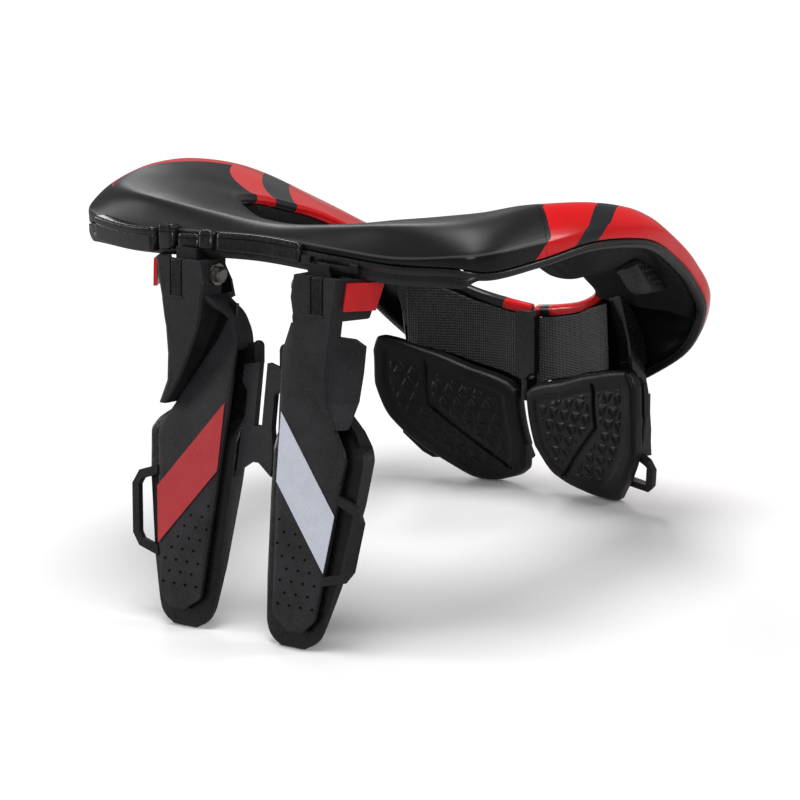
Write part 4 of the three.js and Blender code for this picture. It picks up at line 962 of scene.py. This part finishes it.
def dress_solids():
    """Finishes and rounded edges for the pieces that keep their solids."""
    looks = {
        "front_clasp": (GLOSS_NYLON, 0.5), "rear_chassis": (NYLON, 0.35), "fin_bridge": (FIN_SKIN, 0.5),
        "chest_strut_": (GLOSS_NYLON, 0.5), "pad_carrier_": (NYLON, 0.4), "chest_strap_loop_": (NYLON, 0.8),
        "rear_clip_": (NYLON, 0.2), "strut_arm_": (FIN_SKIN, 0.45), "strut_bolt_": (STEEL, 0.2),
        "angle_wedge_": (RED_GLOSS, 0.4), "fin_strap_loop_": (NYLON, 0.9), "strap_peg_": (NYLON, 0.0),
    }
    for node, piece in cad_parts.items():
        for start, (material, bevel) in looks.items():
            if node.startswith(start):
                piece.data.materials.clear()
                piece.data.materials.append(material)
                if bevel:
                    add_bevel(piece, bevel)


# View and light
def build_camera():
    """The photograph's view, tipped with the brace as it stands on the floor."""
    azimuth, elevation = math.radians(39.998), math.radians(10.598)
    distance, shift_right, shift_up = 2200.814, -6.188, -98.477
    focal, image = 4326.167, 800.0
    forward = np.array([-math.sin(azimuth) * math.cos(elevation), math.cos(azimuth) * math.cos(elevation),
                        -math.sin(elevation)])
    right = np.array([math.cos(azimuth), math.sin(azimuth), 0.0])
    up = np.cross(right, forward)
    eye = at_rest(-forward * distance + right * shift_right + up * shift_up)
    zero = at_rest([0, 0, 0])
    axes = [(at_rest(v) - zero) / MM for v in (right, up, -forward)]
    data = bpy.data.cameras.new("view")
    data.sensor_width = 36.0
    data.lens = focal / image * data.sensor_width
    data.clip_end = 20
    camera = bpy.data.objects.new("view", data)
    camera.matrix_world = Matrix([[*(axis[i] for axis in axes), eye[i]] for i in range(3)] + [[0, 0, 0, 1]])
    scene.collection.objects.link(camera)
    scene.camera = camera


def add_light(name, place, target, size, power, size_y=None):
    """An area light that faces its target."""
    data = bpy.data.lights.new(name, "AREA")
    data.shape = "RECTANGLE"
    data.size = size
    data.size_y = size_y or size
    data.energy = power
    light = bpy.data.objects.new(name, data)
    light.location = place
    light.rotation_euler = (Vector(target) - Vector(place)).to_track_quat("-Z", "Y").to_euler()
    scene.collection.objects.link(light)


def build_floor():
    """A pale floor: the camera sees it fade to white further out, and it throws less light than it shows."""
    half, fade_start, fade_end = 6.0, 0.5, 2.6
    mesh = bpy.data.meshes.new("floor")
    corners = [(-half, -half, 0), (half, -half, 0), (half, half, 0), (-half, half, 0)]
    mesh.from_pydata(corners, [], [(0, 1, 2, 3)])
    floor = bpy.data.objects.new("floor", mesh)
    scene.collection.objects.link(floor)
    finish = Finish("pale_floor", (0.86, 0.86, 0.86), 0.7, Emission_Color=(1, 1, 1, 1))
    cloud = finish.noise(3, 2)
    seen = Wire(finish.tree, finish.tree.nodes.new("ShaderNodeLightPath").outputs["Is Camera Ray"])
    pale = finish.mix(cloud.ramp(0.3, 0.7, 0, 1), (0.87, 0.87, 0.87), (0.89, 0.89, 0.89))
    finish.color(finish.mix(seen, (0.4, 0.4, 0.4), pale))
    reach = finish.tree.nodes.new("ShaderNodeVectorMath")
    reach.operation = "LENGTH"
    finish.tree.links.new(finish.coordinates(), reach.inputs[0])
    glow = Wire(finish.tree, reach.outputs["Value"]).ramp(fade_start, fade_end, 0.0, 0.75)
    finish.drive("Emission Strength", glow * seen)
    mesh.materials.append(finish.material)


def build_world():
    """White where the camera sees it, and a weaker light for all else."""
    world = bpy.data.worlds.new("studio")
    scene.world = world
    world.use_nodes = True
    tree = world.node_tree
    tree.nodes["Background"].inputs["Color"].default_value = (1, 1, 1, 1)
    path = tree.nodes.new("ShaderNodeLightPath")
    level = Wire(tree, path.outputs["Is Camera Ray"]).ramp(0, 1, 0.24, 1.0)
    tree.links.new(level.socket, tree.nodes["Background"].inputs["Strength"])
    scene.view_settings.view_transform = "Standard"


def build_lights():
    add_light("top", (0.15, 0.0, 1.9), (0, 0, 0.1), 1.0, 27)
    add_light("fill", (1.1, -1.5, 0.9), (0, 0, 0.1), 0.6, 8)
    add_light("side", (1.5, 0.9, 0.8), (0, 0, 0.12), 0.35, 9, size_y=0.9)
    add_light("back", (-1.2, 1.0, 1.3), (0, 0, 0.15), 0.5, 8, size_y=0.9)
    add_light("left", (-1.5, -0.6, 0.6), (0, 0, 0.1), 0.35, 9, size_y=0.9)


build_camera()
build_floor()
build_world()
build_lights()
build_collar()
build_rims()
build_foam()
build_wedges()
build_fins()
build_labels()
build_perforations()
build_arm_details()
build_skirt()
build_back_fittings()
build_pads()
build_mesh()
dress_solids()
